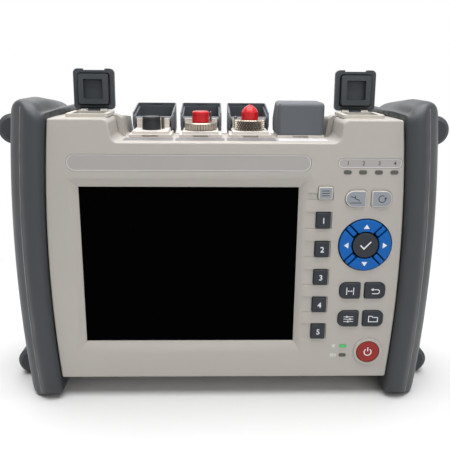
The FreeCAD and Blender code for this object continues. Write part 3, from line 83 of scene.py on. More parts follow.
def srgb(red: int, green: int, blue: int) -> tuple[float, float, float, float]:
    """Turns a colour of 0 to 255 as a display shows it into linear light.

    Args:
        red: Red, 0 to 255.
        green: Green, 0 to 255.
        blue: Blue, 0 to 255.

    Returns:
        Linear red, green, blue and an alpha of 1.
    """
    values = []
    for channel in (red, green, blue):
        part = channel / 255
        values.append(part / 12.92 if part <= 0.04045 else ((part + 0.055) / 1.055) ** 2.4)
    return (values[0], values[1], values[2], 1.0)


DUST_COLOUR = srgb(176, 172, 165)


def link_object(name: str, data: bpy.types.ID) -> bpy.types.Object:
    """Links a new object that holds some data to the scene.

    Args:
        name: Name of the object.
        data: Its mesh, curve, light or camera.

    Returns:
        The object.
    """
    made = bpy.data.objects.new(name, data)
    bpy.context.scene.collection.objects.link(made)
    return made


def new_mesh(name: str, shape: bmesh.types.BMesh) -> bpy.types.Mesh:
    """Writes a shape into a new mesh and frees the shape.

    Args:
        name: Name of the mesh.
        shape: The shape.

    Returns:
        The mesh.
    """
    mesh = bpy.data.meshes.new(name)
    shape.to_mesh(mesh)
    shape.free()
    return mesh


# Shader groups


def feed(tree: bpy.types.NodeTree, node: bpy.types.Node, inputs: dict[str | int, object]) -> None:
    """Feeds a node's inputs.

    Args:
        tree: The tree that holds the node.
        node: The node.
        inputs: A value or another node's output socket for each input.
    """
    for slot, value in inputs.items():
        if isinstance(value, bpy.types.NodeSocket):
            tree.links.new(value, node.inputs[slot])
        else:
            node.inputs[slot].default_value = value


def add_node(tree: bpy.types.NodeTree, kind: str, inputs: dict[str | int, object],
             **options: object) -> bpy.types.Node:
    """Adds a node and feeds it.

    Args:
        tree: The tree that gets the node.
        kind: Type of the node.
        inputs: A value or another node's output socket for each input.
        **options: The node's own options.

    Returns:
        The node.
    """
    node = tree.nodes.new(kind)
    for option, value in options.items():
        setattr(node, option, value)
    feed(tree, node, inputs)
    return node


def add_math(tree: bpy.types.NodeTree, operation: str, first: object, second: object) -> bpy.types.NodeSocket:
    """Adds a Math node on two sockets or numbers and returns its output socket."""
    return add_node(tree, "ShaderNodeMath", {0: first, 1: second}, operation=operation).outputs[0]


def new_group(name: str, inputs: dict[str, float], outputs: list[str]) -> bpy.types.NodeTree:
    """Starts a shader node group with a vector input and number inputs and outputs.

    Args:
        name: Name of the group.
        inputs: Name and default of each number input.
        outputs: Name of each number output.

    Returns:
        The node tree, holding its input and output nodes.
    """
    tree = bpy.data.node_groups.new(name, "ShaderNodeTree")
    tree.interface.new_socket("Vector", in_out="INPUT", socket_type="NodeSocketVector")
    for label, default in inputs.items():
        socket = tree.interface.new_socket(label, in_out="INPUT", socket_type="NodeSocketFloat")
        socket.default_value = default
    for label in outputs:
        tree.interface.new_socket(label, in_out="OUTPUT", socket_type="NodeSocketFloat")
    tree.nodes.new("NodeGroupInput").name = "in"
    tree.nodes.new("NodeGroupOutput").name = "out"
    return tree


def surface_group() -> bpy.types.NodeTree:
    """The moulded surface that every plastic and rubber shares.

    Returns:
        A group with outputs Height for a bump, Mottle for colour and Smudge for roughness.
    """
    known = bpy.data.node_groups.get("moulded_surface")
    if known:
        return known
    tree = new_group("moulded_surface", {"Grain": 2600.0, "Patch": 40.0}, ["Height", "Mottle", "Smudge"])
    source, out = tree.nodes["in"].outputs, tree.nodes["out"].inputs
    wide = add_math(tree, "MULTIPLY", source["Patch"], 0.45)
    for use, scale, detail, distortion in (("Height", source["Grain"], 3.0, 0.0),
                                           ("Mottle", source["Patch"], 4.0, 0.4),
                                           ("Smudge", wide, 6.0, 1.2)):
        noise = add_node(tree, "ShaderNodeTexNoise", {"Vector": source["Vector"], "Scale": scale,
                                                      "Detail": detail, "Distortion": distortion})
        tree.links.new(noise.outputs["Fac"], out[use])
    return tree


def dust_group() -> bpy.types.NodeTree:
    """Fine dust that settles on what faces up.

    Returns:
        A group with the output Dust, from 0 to 1.
    """
    known = bpy.data.node_groups.get("settled_dust")
    if known:
        return known
    tree = new_group("settled_dust", {"Speck": 900.0, "Amount": 0.3}, ["Dust"])
    source = tree.nodes["in"].outputs
    normal = tree.nodes.new("ShaderNodeNewGeometry").outputs["Normal"]
    split = add_node(tree, "ShaderNodeSeparateXYZ", {0: normal})
    upward = add_math(tree, "MAXIMUM", split.outputs["Z"], 0.0)
    noise = add_node(tree, "ShaderNodeTexNoise", {"Vector": source["Vector"], "Scale": source["Speck"],
                                                  "Detail": 5.0})
    specks = add_math(tree, "POWER", noise.outputs["Fac"], 2.0)
    settled = add_math(tree, "MULTIPLY", upward, specks)
    dust = add_math(tree, "MULTIPLY", settled, source["Amount"])
    tree.links.new(dust, tree.nodes["out"].inputs["Dust"])
    return tree


# Finishes


@dataclass(frozen=True)
class Finish:
    """One finish of the instrument, as a maker would order it."""

    name: str
    slot: str
    colour: tuple[float, float, float, float]
    roughness: float = 0.5
    metallic: float = 0.0
    grain: float = 2600.0
    grain_depth: float = 0.02
    patch: float = 40.0
    mottle: float = 0.05
    smudge: float = 0.08
    dust: float = 0.0
    coat: float = 0.0
    coat_roughness: float = 0.1
    specular: float = 0.5
    brushed: bool = False

    def material(self) -> bpy.types.Material:
        """Builds the material once and returns it after that.

        Returns:
            The material of this finish.
        """
        label = "finish_" + self.name   # the frame's own materials are named by slot
        known = bpy.data.materials.get(label)
        if known:
            return known
        material = bpy.data.materials.new(label)
        material.use_nodes = True
        tree = material.node_tree
        place = tree.nodes.new("ShaderNodeTexCoord").outputs["Object"]
        if self.brushed:   # the grain is drawn out along X
            drawn = add_node(tree, "ShaderNodeMapping", {"Vector": place, "Scale": (0.04, 1.0, 1.0)})
            place = drawn.outputs["Vector"]
        surface = add_node(tree, "ShaderNodeGroup", {"Vector": place, "Grain": self.grain,
                                                     "Patch": self.patch}, node_tree=surface_group())
        rough = add_node(tree, "ShaderNodeMapRange", {
            "Value": surface.outputs["Smudge"], "From Min": 0.3, "From Max": 0.7,
            "To Min": max(self.roughness - self.smudge, 0.02),
            "To Max": min(self.roughness + self.smudge, 1.0)})
        bump = add_node(tree, "ShaderNodeBump", {"Strength": 1.0, "Distance": self.grain_depth * MM,
                                                 "Height": surface.outputs["Height"]})
        feed(tree, tree.nodes["Principled BSDF"], {
            "Base Color": self.colouring(tree, surface.outputs["Mottle"], place),
            "Roughness": rough.outputs["Result"], "Normal": bump.outputs["Normal"],
            "Metallic": self.metallic, "Specular IOR Level": self.specular,
            "Coat Weight": self.coat, "Coat Roughness": self.coat_roughness})
        return material

    def colouring(self, tree: bpy.types.NodeTree, mottle: bpy.types.NodeSocket,
                  place: bpy.types.NodeSocket) -> bpy.types.NodeSocket:
        """Adds the colour: the base, its slight mottling and the dust on top.

        Args:
            tree: The material's tree.
            mottle: How far the base is from dark to light.
            place: The coordinates that patterns follow.

        Returns:
            The colour's socket.
        """
        dark = tuple(c * (1 - self.mottle) for c in self.colour[:3]) + (1.0,)
        light = tuple(min(c * (1 + self.mottle), 1.0) for c in self.colour[:3]) + (1.0,)
        base = add_node(tree, "ShaderNodeMix", {"Factor": mottle, "A": dark, "B": light}, data_type="RGBA")
        if not self.dust:
            return base.outputs["Result"]
        dust = add_node(tree, "ShaderNodeGroup", {"Vector": place, "Amount": self.dust},
                        node_tree=dust_group())
        over = add_node(tree, "ShaderNodeMix", {"Factor": dust.outputs["Dust"], "A": base.outputs["Result"],
                                                "B": DUST_COLOUR}, data_type="RGBA")
        return over.outputs["Result"]


class Paint(Enum):
    """Every finish on the instrument."""

    CASING = Finish("casing_plastic", "casing", srgb(170, 165, 159), 0.5, mottle=0.012, specular=0.4)
    WHITE = Finish("white_plastic", "white_plastic", srgb(208, 203, 196), 0.45, mottle=0.015, specular=0.35)
    FRAME = Finish("cream_plastic", "white_plastic", srgb(198, 193, 184), 0.48, mottle=0.015, specular=0.4)
    BUMPER = Finish("bumper_rubber", "bumper", srgb(50, 54, 57), 0.42, grain=1500.0, grain_depth=0.04,
                    mottle=0.05, dust=0.03, specular=0.45)
    # painted highlight: the pale seam colour stands in for the light caught by the edge of the bumper's seam
    SEAM_HIGHLIGHT = Finish("painted_seam_highlight", "bumper", srgb(134, 137, 138), 0.5, grain_depth=0.01, mottle=0.03)
    BUFFER = Finish("buffer_rubber", "buffer", srgb(58, 61, 65), 0.6, grain=1500.0, grain_depth=0.05,
                    mottle=0.08, dust=0.04, specular=0.3)
    LID = Finish("lid_plastic", "lid", srgb(86, 91, 96), 0.48, grain_depth=0.03, mottle=0.03, dust=0.04,
                 specular=0.4)
    SEAL = Finish("cap_rubber", "lid", srgb(62, 66, 70), 0.58, grain_depth=0.03, mottle=0.04, dust=0.05,
                  specular=0.3)
    SCREEN = Finish("screen_cover", "window", srgb(3, 3, 4), 0.5, grain_depth=0.0, mottle=0.0, smudge=0.04,
                    specular=0.0)
    DISPLAY = Finish("display_module", "display", srgb(22, 22, 24), 0.4)
    FOIL = Finish("plate_foil", "plate_silver", srgb(160, 156, 154), 0.42, mottle=0.02, specular=0.4)
    DARK_KEY = Finish("dark_key", "dark_key", srgb(42, 46, 52), 0.42, grain_depth=0.01, mottle=0.04,
                      specular=0.25)
    PALE_KEY = Finish("pale_key", "pale_key", srgb(138, 143, 149), 0.42, grain_depth=0.01, mottle=0.02,
                      specular=0.3)
    KEY_SIDE = Finish("pale_key_side", "pale_key", srgb(200, 196, 188), 0.45, mottle=0.015)
    BLUE_KEY = Finish("blue_key", "blue_key", srgb(4, 88, 164), 0.4, grain_depth=0.01, mottle=0.03,
                      specular=0.2)
    RED_KEY = Finish("red_key", "red_key", srgb(140, 40, 35), 0.4, grain_depth=0.01, mottle=0.03,
                     specular=0.25)
    MAT = Finish("keypad_rubber", "keypad_rubber", srgb(22, 24, 28), 0.7)
    BOARD = Finish("circuit_board", "board", srgb(20, 84, 44), 0.4, mottle=0.2)
    SHEET = Finish("module_sheet", "module_metal", srgb(170, 172, 176), 0.35, metallic=1.0, brushed=True)
    WRAP = Finish("battery_wrap", "battery_wrap", srgb(46, 48, 54), 0.35)
    BLACK = Finish("black_plastic", "black_plastic", srgb(36, 39, 42), 0.45, mottle=0.06, specular=0.3)
    RED_CAP = Finish("red_cap", "red_cap", srgb(196, 22, 30), 0.28, grain_depth=0.01, mottle=0.03,
                     specular=0.35)
    NICKEL = Finish("nickel", "nickel", srgb(168, 159, 147), 0.3, metallic=1.0, grain_depth=0.004,
                    mottle=0.04)
    DARK_METAL = Finish("dark_metal", "steel", srgb(104, 101, 97), 0.34, metallic=1.0, grain_depth=0.004)
    # painted shade: a dark non-metal colour for the hollows between the knurl's diamonds
    KNURL_SHADE = Finish("knurl_painted_shade", "nickel", srgb(34, 30, 26), 0.6, grain_depth=0.004, specular=0.2)
    STEEL = Finish("steel", "steel", srgb(168, 168, 170), 0.32, metallic=1.0, brushed=True)
    GOLD = Finish("gold_contact", "nickel", srgb(222, 178, 92), 0.25, metallic=1.0, grain_depth=0.002)
    GREEN_LIGHT = Finish("green_light", "lights", srgb(66, 176, 96), 0.3, grain_depth=0.0, coat=0.4)
    GREY_LIGHT = Finish("grey_light", "lights", srgb(82, 84, 80), 0.35, grain_depth=0.0, specular=0.3)
    PALE_INK = Finish("pale_ink", "plate_silver", srgb(216, 218, 220), 0.55, grain_depth=0.0, mottle=0.02)
    DARK_INK = Finish("dark_ink", "dark_key", srgb(44, 46, 50), 0.55, grain_depth=0.0, mottle=0.02)
    GREY_STRIP = Finish("grey_strip", "plate_silver", srgb(112, 110, 112), 0.5, grain_depth=0.004,
                        mottle=0.03, specular=0.3)
    # pale finish of the fourth bay's label strip, also used for the painted highlight round the plates' edges
    PALE_STRIP_AND_HIGHLIGHT = Finish("pale_strip_and_highlight", "plate_silver", srgb(204, 202, 203), 0.42, grain_depth=0.004,
                        mottle=0.02)


# Pieces


class Workshop:
    """Adds finished pieces to the frame and makes them ride on its bodies."""

    def __init__(self, frame: dict) -> None:
        """Keeps the frame's nodes and the body of each.

        Args:
            frame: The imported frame.
        """
        self.nodes = frame["nodes"]
        bodies = frame["record"]["behaviour"]["bodies"]
        self.body = {node: body for body, members in bodies.items() for node in members}

    def add(self, name: str, mesh: bpy.types.Mesh, paint: Paint, body: str) -> bpy.types.Object:
        """Links a mesh as a piece.

        Args:
            name: Name of the piece.
            mesh: Its mesh, already in place.
            paint: Its finish.
            body: The body that it rides on.

        Returns:
            The piece.
        """
        piece = link_object(name, mesh)
        mesh.materials.clear()
        mesh.materials.append(paint.value.material())
        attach(piece, body)
        LOG.info("piece %s: %d faces on %s", name, len(mesh.polygons), body)
        return piece

    def merged(self, node: str) -> tuple[bpy.types.Mesh, bmesh.types.BMesh]:
        """Copies a CAD node's mesh and merges its loose triangles.

        Args:
            node: The CAD node.

        Returns:
            The copy, and its merged shape to work on.
        """
        mesh = self.nodes[node].data.copy()
        shape = bmesh.new()
        shape.from_mesh(mesh)
        bmesh.ops.remove_doubles(shape, verts=shape.verts, dist=MERGE)
        return mesh, shape

    def stand_in(self, node: str, mesh: bpy.types.Mesh, paint: Paint) -> None:
        """Puts a finished mesh in a CAD node's place."""
        piece = self.add(node + "_skin", mesh, paint, self.body[node])
        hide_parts(node)

    def skin(self, node: str, paint: Paint) -> None:
        """Stands a merged, smoothly shaded copy of a CAD node in its place.

        Args:
            node: The CAD node.
            paint: Its finish.
        """
        mesh, shape = self.merged(node)
        for face in shape.faces:
            face.smooth = True
        for edge in shape.edges:
            edge.smooth = len(edge.link_faces) == 2 and edge.calc_face_angle(0.0) < SHARP_EDGE
        shape.to_mesh(mesh)
        shape.free()
        rough = link_object(node + "_rough", mesh)
        rough.modifiers.new("even_shading", "WEIGHTED_NORMAL").keep_sharp = True
        self.stand_in(node, plain_mesh(rough), paint)

    def skins(self, nodes: list[str], paint: Paint) -> None:
        """Gives several CAD nodes the same finish."""
        for node in nodes:
            self.skin(node, paint)


def plain_mesh(made: bpy.types.Object) -> bpy.types.Mesh:
    """Turns an object with modifiers into a plain mesh and removes the object.

    Args:
        made: The object, which is deleted.

    Returns:
        A new mesh with the modifiers' result.
    """
    bpy.context.view_layer.update()
    graph = bpy.context.evaluated_depsgraph_get()
    mesh = bpy.data.meshes.new_from_object(made.evaluated_get(graph), preserve_all_data_layers=True,
                                           depsgraph=graph)
    bpy.data.objects.remove(made)
    return mesh


class Plane(Enum):
    """The way that a flat drawing faces."""

    FRONT = "front"
    UP = "up"


class Drawing:
    """Flat shapes in millimetres from a centre: u to the right, v up or back."""

    figure_weight = 0.012   # how much bolder the digits are, as a share of their size

    def __init__(self) -> None:
        """Starts with no shapes."""
        self.faces: list[list[tuple[float, float]]] = []

    def polygon(self, points: list[tuple[float, float]]) -> Drawing:
        """Adds a filled outline."""
        self.faces.append(points)
        return self

    def bar(self, u: float, v: float, width: float, height: float) -> Drawing:
        """Adds a rectangle about its centre."""
        a, b = width / 2, height / 2
        return self.polygon([(u - a, v - b), (u + a, v - b), (u + a, v + b), (u - a, v + b)])

    def plate(self, u: float, v: float, width: float, height: float, r: float) -> Drawing:
        """Adds a rectangle with rounded corners.

        Args:
            u: Its centre to the right.
            v: Its centre upward.
            width: Its width.
            height: Its height.
            r: Radius of its corners.

        Returns:
            This drawing.
        """
        points = []
        for quarter, (cu, cv) in enumerate(((1, -1), (1, 1), (-1, 1), (-1, -1))):
            for step in range(7):
                angle = math.radians(90 * quarter - 90 + 15 * step)
                points.append((u + cu * (width / 2 - r) + r * math.cos(angle),
                               v + cv * (height / 2 - r) + r * math.sin(angle)))
        return self.polygon(points)

    def outline(self, width: float, height: float, r: float, line: float) -> Drawing:
        """Adds the line just inside a rectangle with rounded corners, about the centre."""
        inside = Drawing().plate(0, 0, width - line, height - line, min(r, height / 2 - line))
        return self.path(inside.faces[0], line, True)

    def hull(self, points: set[tuple[float, float]]) -> Drawing:
        """Adds the filled convex outline round some points.

        Args:
            points: The points.

        Returns:
            This drawing.
        """
        edge: list[tuple[float, float]] = []
        for ordered in (sorted(points), sorted(points, reverse=True)):
            chain: list[tuple[float, float]] = []
            for u, v in ordered:
                while len(chain) > 1 and ((chain[-1][0] - chain[-2][0]) * (v - chain[-2][1])
                                          - (chain[-1][1] - chain[-2][1]) * (u - chain[-2][0])) <= 0:
                    chain.pop()
                chain.append((u, v))
            edge += chain[:-1]
        return self.polygon(edge)

    def disc(self, u: float, v: float, r: float) -> Drawing:
        """Adds a filled circle."""
        turns = [math.radians(15 * i) for i in range(24)]
        return self.polygon([(u + r * math.cos(t), v + r * math.sin(t)) for t in turns])

    def path(self, points: list[tuple[float, float]], width: float, closed: bool = False) -> Drawing:
        """Adds a line of even width with mitred corners.

        Args:
            points: The line's middle.
            width: Its width.
            closed: Whether the last point joins the first.

        Returns:
            This drawing.
        """
        sides = []
        count = len(points)
        for i, (u, v) in enumerate(points):
            before = Vector(points[(i - 1) % count]) if closed or i else None
            after = Vector(points[(i + 1) % count]) if closed or i < count - 1 else None
            here = Vector((u, v))
            first = (here - before).normalized() if before is not None else (after - here).normalized()
            second = (after - here).normalized() if after is not None else first
            along = (first + second).normalized()
            across = Vector((-along.y, along.x))
            reach = width / 2 / max(across.dot(Vector((-first.y, first.x))), 0.4)
            sides.append((here + across * reach, here - across * reach))
        for i in range(count if closed else count - 1):
            (a, b), (c, d) = sides[i], sides[(i + 1) % count]
            self.faces.append([tuple(b), tuple(d), tuple(c), tuple(a)])
        return self

    def arc(self, u: float, v: float, r: float, start: float, end: float, width: float) -> Drawing:
        """Adds a curved line.

        Args:
            u: Its centre to the right.
            v: Its centre upward.
            r: Its radius.
            start: The angle that it starts at, in degrees.
            end: The angle that it ends at.
            width: Its width.

        Returns:
            This drawing.
        """
        steps = max(int(abs(end - start) / 12), 3)
        turns = [math.radians(start + (end - start) * i / steps) for i in range(steps + 1)]
        return self.path([(u + r * math.cos(t), v + r * math.sin(t)) for t in turns], width)

    def figure(self, text: str, size: float) -> Drawing:
        """Adds plain digits about the centre.

        Args:
            text: The digits.
            size: Their size.

        Returns:
            This drawing.
        """
        curve = bpy.data.curves.new("digits", "FONT")
        curve.body = text
        curve.size = size
        curve.offset = self.figure_weight * size
        curve.align_x = "CENTER"
        curve.resolution_u = 3
        mesh = plain_mesh(link_object("digits", curve))
        corners = [vertex.co.copy() for vertex in mesh.vertices]
        middle = (min(c.y for c in corners) + max(c.y for c in corners)) / 2
        centre = (min(c.x for c in corners) + max(c.x for c in corners)) / 2
        for face in mesh.polygons:
            self.faces.append([(corners[i].x - centre, corners[i].y - middle) for i in face.vertices])
        bpy.data.meshes.remove(mesh)
        bpy.data.curves.remove(curve)
        return self

    def mesh(self, name: str, centre: Vector, plane: Plane = Plane.FRONT, height: float = PRINT_HEIGHT,
             turn: float = 0.0) -> bpy.types.Mesh:
        """Raises the drawing into a thin solid on a surface.

        Args:
            name: Name of the mesh.
            centre: Where the drawing's centre lies on the surface, in metres.
            plane: The way it faces.
            height: How far it stands off the surface.
            turn: Degrees that it is turned in its own plane.

        Returns:
            A closed mesh.
        """
        shape = bmesh.new()
        for points in self.faces:
            shape.faces.new([shape.verts.new((u * MM, v * MM, height)) for u, v in points])
        bmesh.ops.remove_doubles(shape, verts=shape.verts, dist=MERGE / 2)
        made = bmesh.ops.extrude_face_region(shape, geom=list(shape.faces))
        sunk = [item for item in made["geom"] if isinstance(item, bmesh.types.BMVert)]
        bmesh.ops.translate(shape, verts=sunk, vec=(0, 0, -height - PRINT_SINK))
        bmesh.ops.recalc_face_normals(shape, faces=shape.faces)
        lean = Matrix.Rotation(math.radians(90), 4, "X") if plane is Plane.FRONT else Matrix.Identity(4)
        spin = Matrix.Rotation(math.radians(turn), 4, "Z")
        bmesh.ops.transform(shape, matrix=Matrix.Translation(centre) @ lean @ spin, verts=shape.verts)
        return new_mesh(name, shape)


class RepeatTree:
    """Geometry Nodes that repeat one mesh along a line, round an axis, or both."""

    NAME = "repeat_along"

    def tree(self) -> bpy.types.NodeTree:
        """Builds the tree once and returns it after that.

        Returns:
            A tree with inputs Geometry, Count, Start, Step, Turn and Material.
        """
        known = bpy.data.node_groups.get(self.NAME)
        if known:
            return known
        tree = bpy.data.node_groups.new(self.NAME, "GeometryNodeTree")
        wanted = {"Geometry": "Geometry", "Count": "Int", "Start": "Vector", "Step": "Vector",
                  "Turn": "Vector", "Material": "Material"}
        for label, kind in wanted.items():
            tree.interface.new_socket(label, in_out="INPUT", socket_type="NodeSocket" + kind)
        tree.interface.new_socket("Geometry", in_out="OUTPUT", socket_type="NodeSocketGeometry")
        source = tree.nodes.new("NodeGroupInput").outputs
        line = add_node(tree, "GeometryNodeMeshLine", {"Count": source["Count"], "Offset": source["Step"],
                                                       "Start Location": source["Start"]}, mode="OFFSET")
        index = tree.nodes.new("GeometryNodeInputIndex")
        turned = add_node(tree, "ShaderNodeVectorMath", {0: source["Turn"], "Scale": index.outputs[0]},
                          operation="SCALE")
        copies = add_node(tree, "GeometryNodeInstanceOnPoints", {
            "Points": line.outputs["Mesh"], "Instance": source["Geometry"], "Rotation": turned.outputs[0]})
        real = add_node(tree, "GeometryNodeRealizeInstances", {0: copies.outputs["Instances"]})
        dress = add_node(tree, "GeometryNodeSetMaterial", {"Geometry": real.outputs[0],
                                                           "Material": source["Material"]})
        add_node(tree, "NodeGroupOutput", {0: dress.outputs[0]})
        return tree

    def run(self, mesh: bpy.types.Mesh, count: int, start: Vector, paint: Paint,
            step: tuple[float, float, float] = (0, 0, 0),
            turn: tuple[float, float, float] = (0, 0, 0)) -> bpy.types.Mesh:
        """Repeats a mesh.

        Args:
            mesh: The one shape, modelled about the origin.
            count: How many of it.
            start: Where the first stands.
            paint: The finish of them all.
            step: From each to the next.
            turn: Radians by which each is turned from the one before.

        Returns:
            A plain mesh of them all.
        """
        carrier = link_object("repeat", mesh)
        modifier = carrier.modifiers.new("repeat", "NODES")
        modifier.node_group = self.tree()
        names = {item.name: item.identifier for item in modifier.node_group.interface.items_tree
                 if item.in_out == "INPUT"}
        values = {"Count": count, "Start": tuple(start), "Step": tuple(step), "Turn": tuple(turn),
                  "Material": paint.value.material()}
        for label, value in values.items():
            modifier[names[label]] = value
        return plain_mesh(carrier)


def block(low: Vector, high: Vector, edge: float = 0.0) -> bpy.types.Mesh:
    """A block between two corners, with its edges rounded.

    Args:
        low: Lowest corner.
        high: Highest corner.
        edge: Radius of its edges.

    Returns:
        A closed mesh.
    """
    shape = bmesh.new()
    bmesh.ops.create_cube(shape, size=1.0)
    size, middle = high - low, (high + low) / 2
    matrix = Matrix.Translation(middle) @ Matrix.Diagonal((*size, 1.0))
    bmesh.ops.transform(shape, matrix=matrix, verts=shape.verts)
    if edge:
        bmesh.ops.bevel(shape, geom=list(shape.edges), offset=edge, segments=2, profile=0.5,
                        affect="EDGES")
    return new_mesh("block", shape)


def band(centre: Vector, inner: float, outer: float, low: float, high: float) -> bpy.types.Mesh:
    """A closed ring about an upright axis.

    Args:
        centre: A point of the axis.
        inner: Inner radius.
        outer: Outer radius.
        low: Height of its underside.
        high: Height of its top.

    Returns:
        A closed mesh.
    """
    shape = bmesh.new()
    section = ((inner, low), (outer, low), (outer, high), (inner, high))
    sides = 64
    rounds = []
    for i in range(sides):
        turn = 2 * math.pi * i / sides
        rounds.append([shape.verts.new((centre.x + r * math.cos(turn), centre.y + r * math.sin(turn), z))
                       for r, z in section])
    for i, here in enumerate(rounds):
        after = rounds[(i + 1) % len(rounds)]
        for j in range(4):
            k = (j + 1) % 4
            shape.faces.new([here[j], here[k], after[k], after[j]])
    bmesh.ops.recalc_face_normals(shape, faces=shape.faces)
    return new_mesh("band", shape)


# Sub-assemblies


@dataclass
class Casing:
    """Front and rear casings, what closes the back, and the pieces inside."""

    shop: Workshop

    def build(self) -> None:
        """Dresses the casings, the door, the stand, the screws and the inner pieces."""
        self.shop.skins(["front_casing", "rear_casing", "battery_door", "rear_stand"], Paint.CASING)
        self.shop.skins(["case_screws", "door_screws", "stand_pins"], Paint.STEEL)
        self.shop.skins(["keypad_board", "main_board"], Paint.BOARD)
        self.shop.skin("keypad_mat", Paint.MAT)
        self.shop.skin("optical_module", Paint.SHEET)
        self.shop.skin("battery_pack", Paint.WRAP)


@dataclass
class Bumpers:
    """The two rubber bumpers and their four buffers."""

    shop: Workshop
    face_y: float
    bow_centre: tuple[float, float] = (664.8, 80.0)   # of the seam: inward and up, in millimetres
    seam_radius: float = 772.75
    seam_ends: tuple[float, float] = (3.5, 164.0)     # heights
    seam_steps: int = 40
    seam_floor: float = 0.3      # the frame's groove has its floor this far in front of the face
    seam_lift: float = 0.9       # and the skin fills it by this much
    highlight_width: float = 0.36
    highlight_height: float = 0.12
    cell: float = 0.9            # side of the skin's even mesh
    crest: tuple[float, float] = (102.7, 167.7)       # of the top: outward and up
    crest_radii: tuple[float, float] = (9.0, 14.0)    # towards the casing and outward
    frame_radii: tuple[float, float] = (9.4, 9.5)     # the same roundings as the frame has them
    frame_edges: tuple[float, float] = (90.6, 111.4)  # the frame's inner and outer sides there
    top_from: float = 148.0      # the top begins at this height
    most_drop: float = 7.0
    top_rounds: int = 10         # of smoothing, at the top
    all_rounds: int = 3          # and then all over

    def build(self) -> None:
        """Dresses the bumpers and the buffers and lays a pale bead in each seam, a painted highlight of the
        seam's lit edge.
        """
        self.shop.skin("corner_buffers", Paint.BUFFER)
        for side, sign in (("left", -1), ("right", 1)):
            self.soften("bumper_" + side)
            self.seam(side, sign)

    def soften(self, node: str) -> None:
        """Stands an evenly meshed copy of a bumper in its place, rounder over the top than the frame's.

        Args:
            node: The bumper's CAD node.
        """
        mesh, shape = self.shop.merged(node)
        floor = self.face_y - self.seam_floor * MM
        for vertex in shape.verts:
            if abs(vertex.co.y - floor) < LEVEL:
                vertex.co.y -= self.seam_lift * MM
        shape.to_mesh(mesh)
        shape.free()
        rough = link_object(node + "_rough", mesh)
        remesh = rough.modifiers.new("even", "REMESH")
        remesh.mode = "VOXEL"
        remesh.voxel_size = self.cell * MM
        even = plain_mesh(rough)
        shape = bmesh.new()
        shape.from_mesh(even)
        for vertex in shape.verts:
            vertex.co.z -= self.drop(abs(vertex.co.x) / MM, vertex.co.z / MM) * MM
        upper = [vertex for vertex in shape.verts if vertex.co.z > self.top_from * MM]
        for verts, rounds in ((upper, self.top_rounds), (list(shape.verts), self.all_rounds)):
            for _ in range(rounds):
                bmesh.ops.smooth_vert(shape, verts=verts, factor=0.5, use_axis_x=True, use_axis_y=True,
                                      use_axis_z=True)
        for face in shape.faces:
            face.smooth = True
        shape.to_mesh(even)
        shape.free()
        self.shop.stand_in(node, even, Paint.BUMPER)

    def drop(self, out: float, z: float) -> float:
        """How far a point of the bumper's top comes down.

        Args:
            out: Its distance from the middle plane, in millimetres.
            z: Its height, in millimetres.

        Returns:
            The drop in millimetres.
        """
        if z < self.top_from:
            return 0.0
        middle, top = self.crest
        inner, outer = self.crest_radii
        aside = out - middle
        radius = inner if aside < 0 else outer
        wanted = radius - math.sqrt(max(radius ** 2 - aside ** 2, 0.0))
        low, high = self.frame_edges
        present = 0.0
        for reach, size in ((low + self.frame_radii[0] - out, self.frame_radii[0]),
                            (out - high + self.frame_radii[1], self.frame_radii[1])):
            if reach > 0:
                present = size - math.sqrt(max(size ** 2 - reach ** 2, 0.0))
        share = min((z - self.top_from) / (top - present - self.top_from), 1.0)
        share = share * share * (3 - 2 * share)
        return share * min(max(wanted - present, 0.0), self.most_drop)

    def seam(self, side: str, sign: int) -> None:
        """Lays the pale bead that runs down a bumper, between its front roll and its outer band: a painted
        highlight of the light that the seam's edge catches.

        Args:
            side: Left or right, for the bead's name.
            sign: Which way that is along X.
        """
        inward, middle = self.bow_centre
        foot, head = self.seam_ends
        points = []
        for i in range(self.seam_steps + 1):
            z = foot + (head - foot) * i / self.seam_steps
            reach = math.sqrt(self.seam_radius ** 2 - (z - middle) ** 2)
            points.append((sign * (reach - inward), z))
        centre = Vector((0, self.face_y - (self.seam_floor + self.seam_lift) * MM, 0))
        # the bead's pale finish is a painted highlight along the seam
        mesh = Drawing().path(points, self.highlight_width).mesh("seam", centre, height=self.highlight_height * MM)
        self.shop.add(f"painted_seam_highlight_{side}", mesh, Paint.SEAM_HIGHLIGHT, HOUSING)


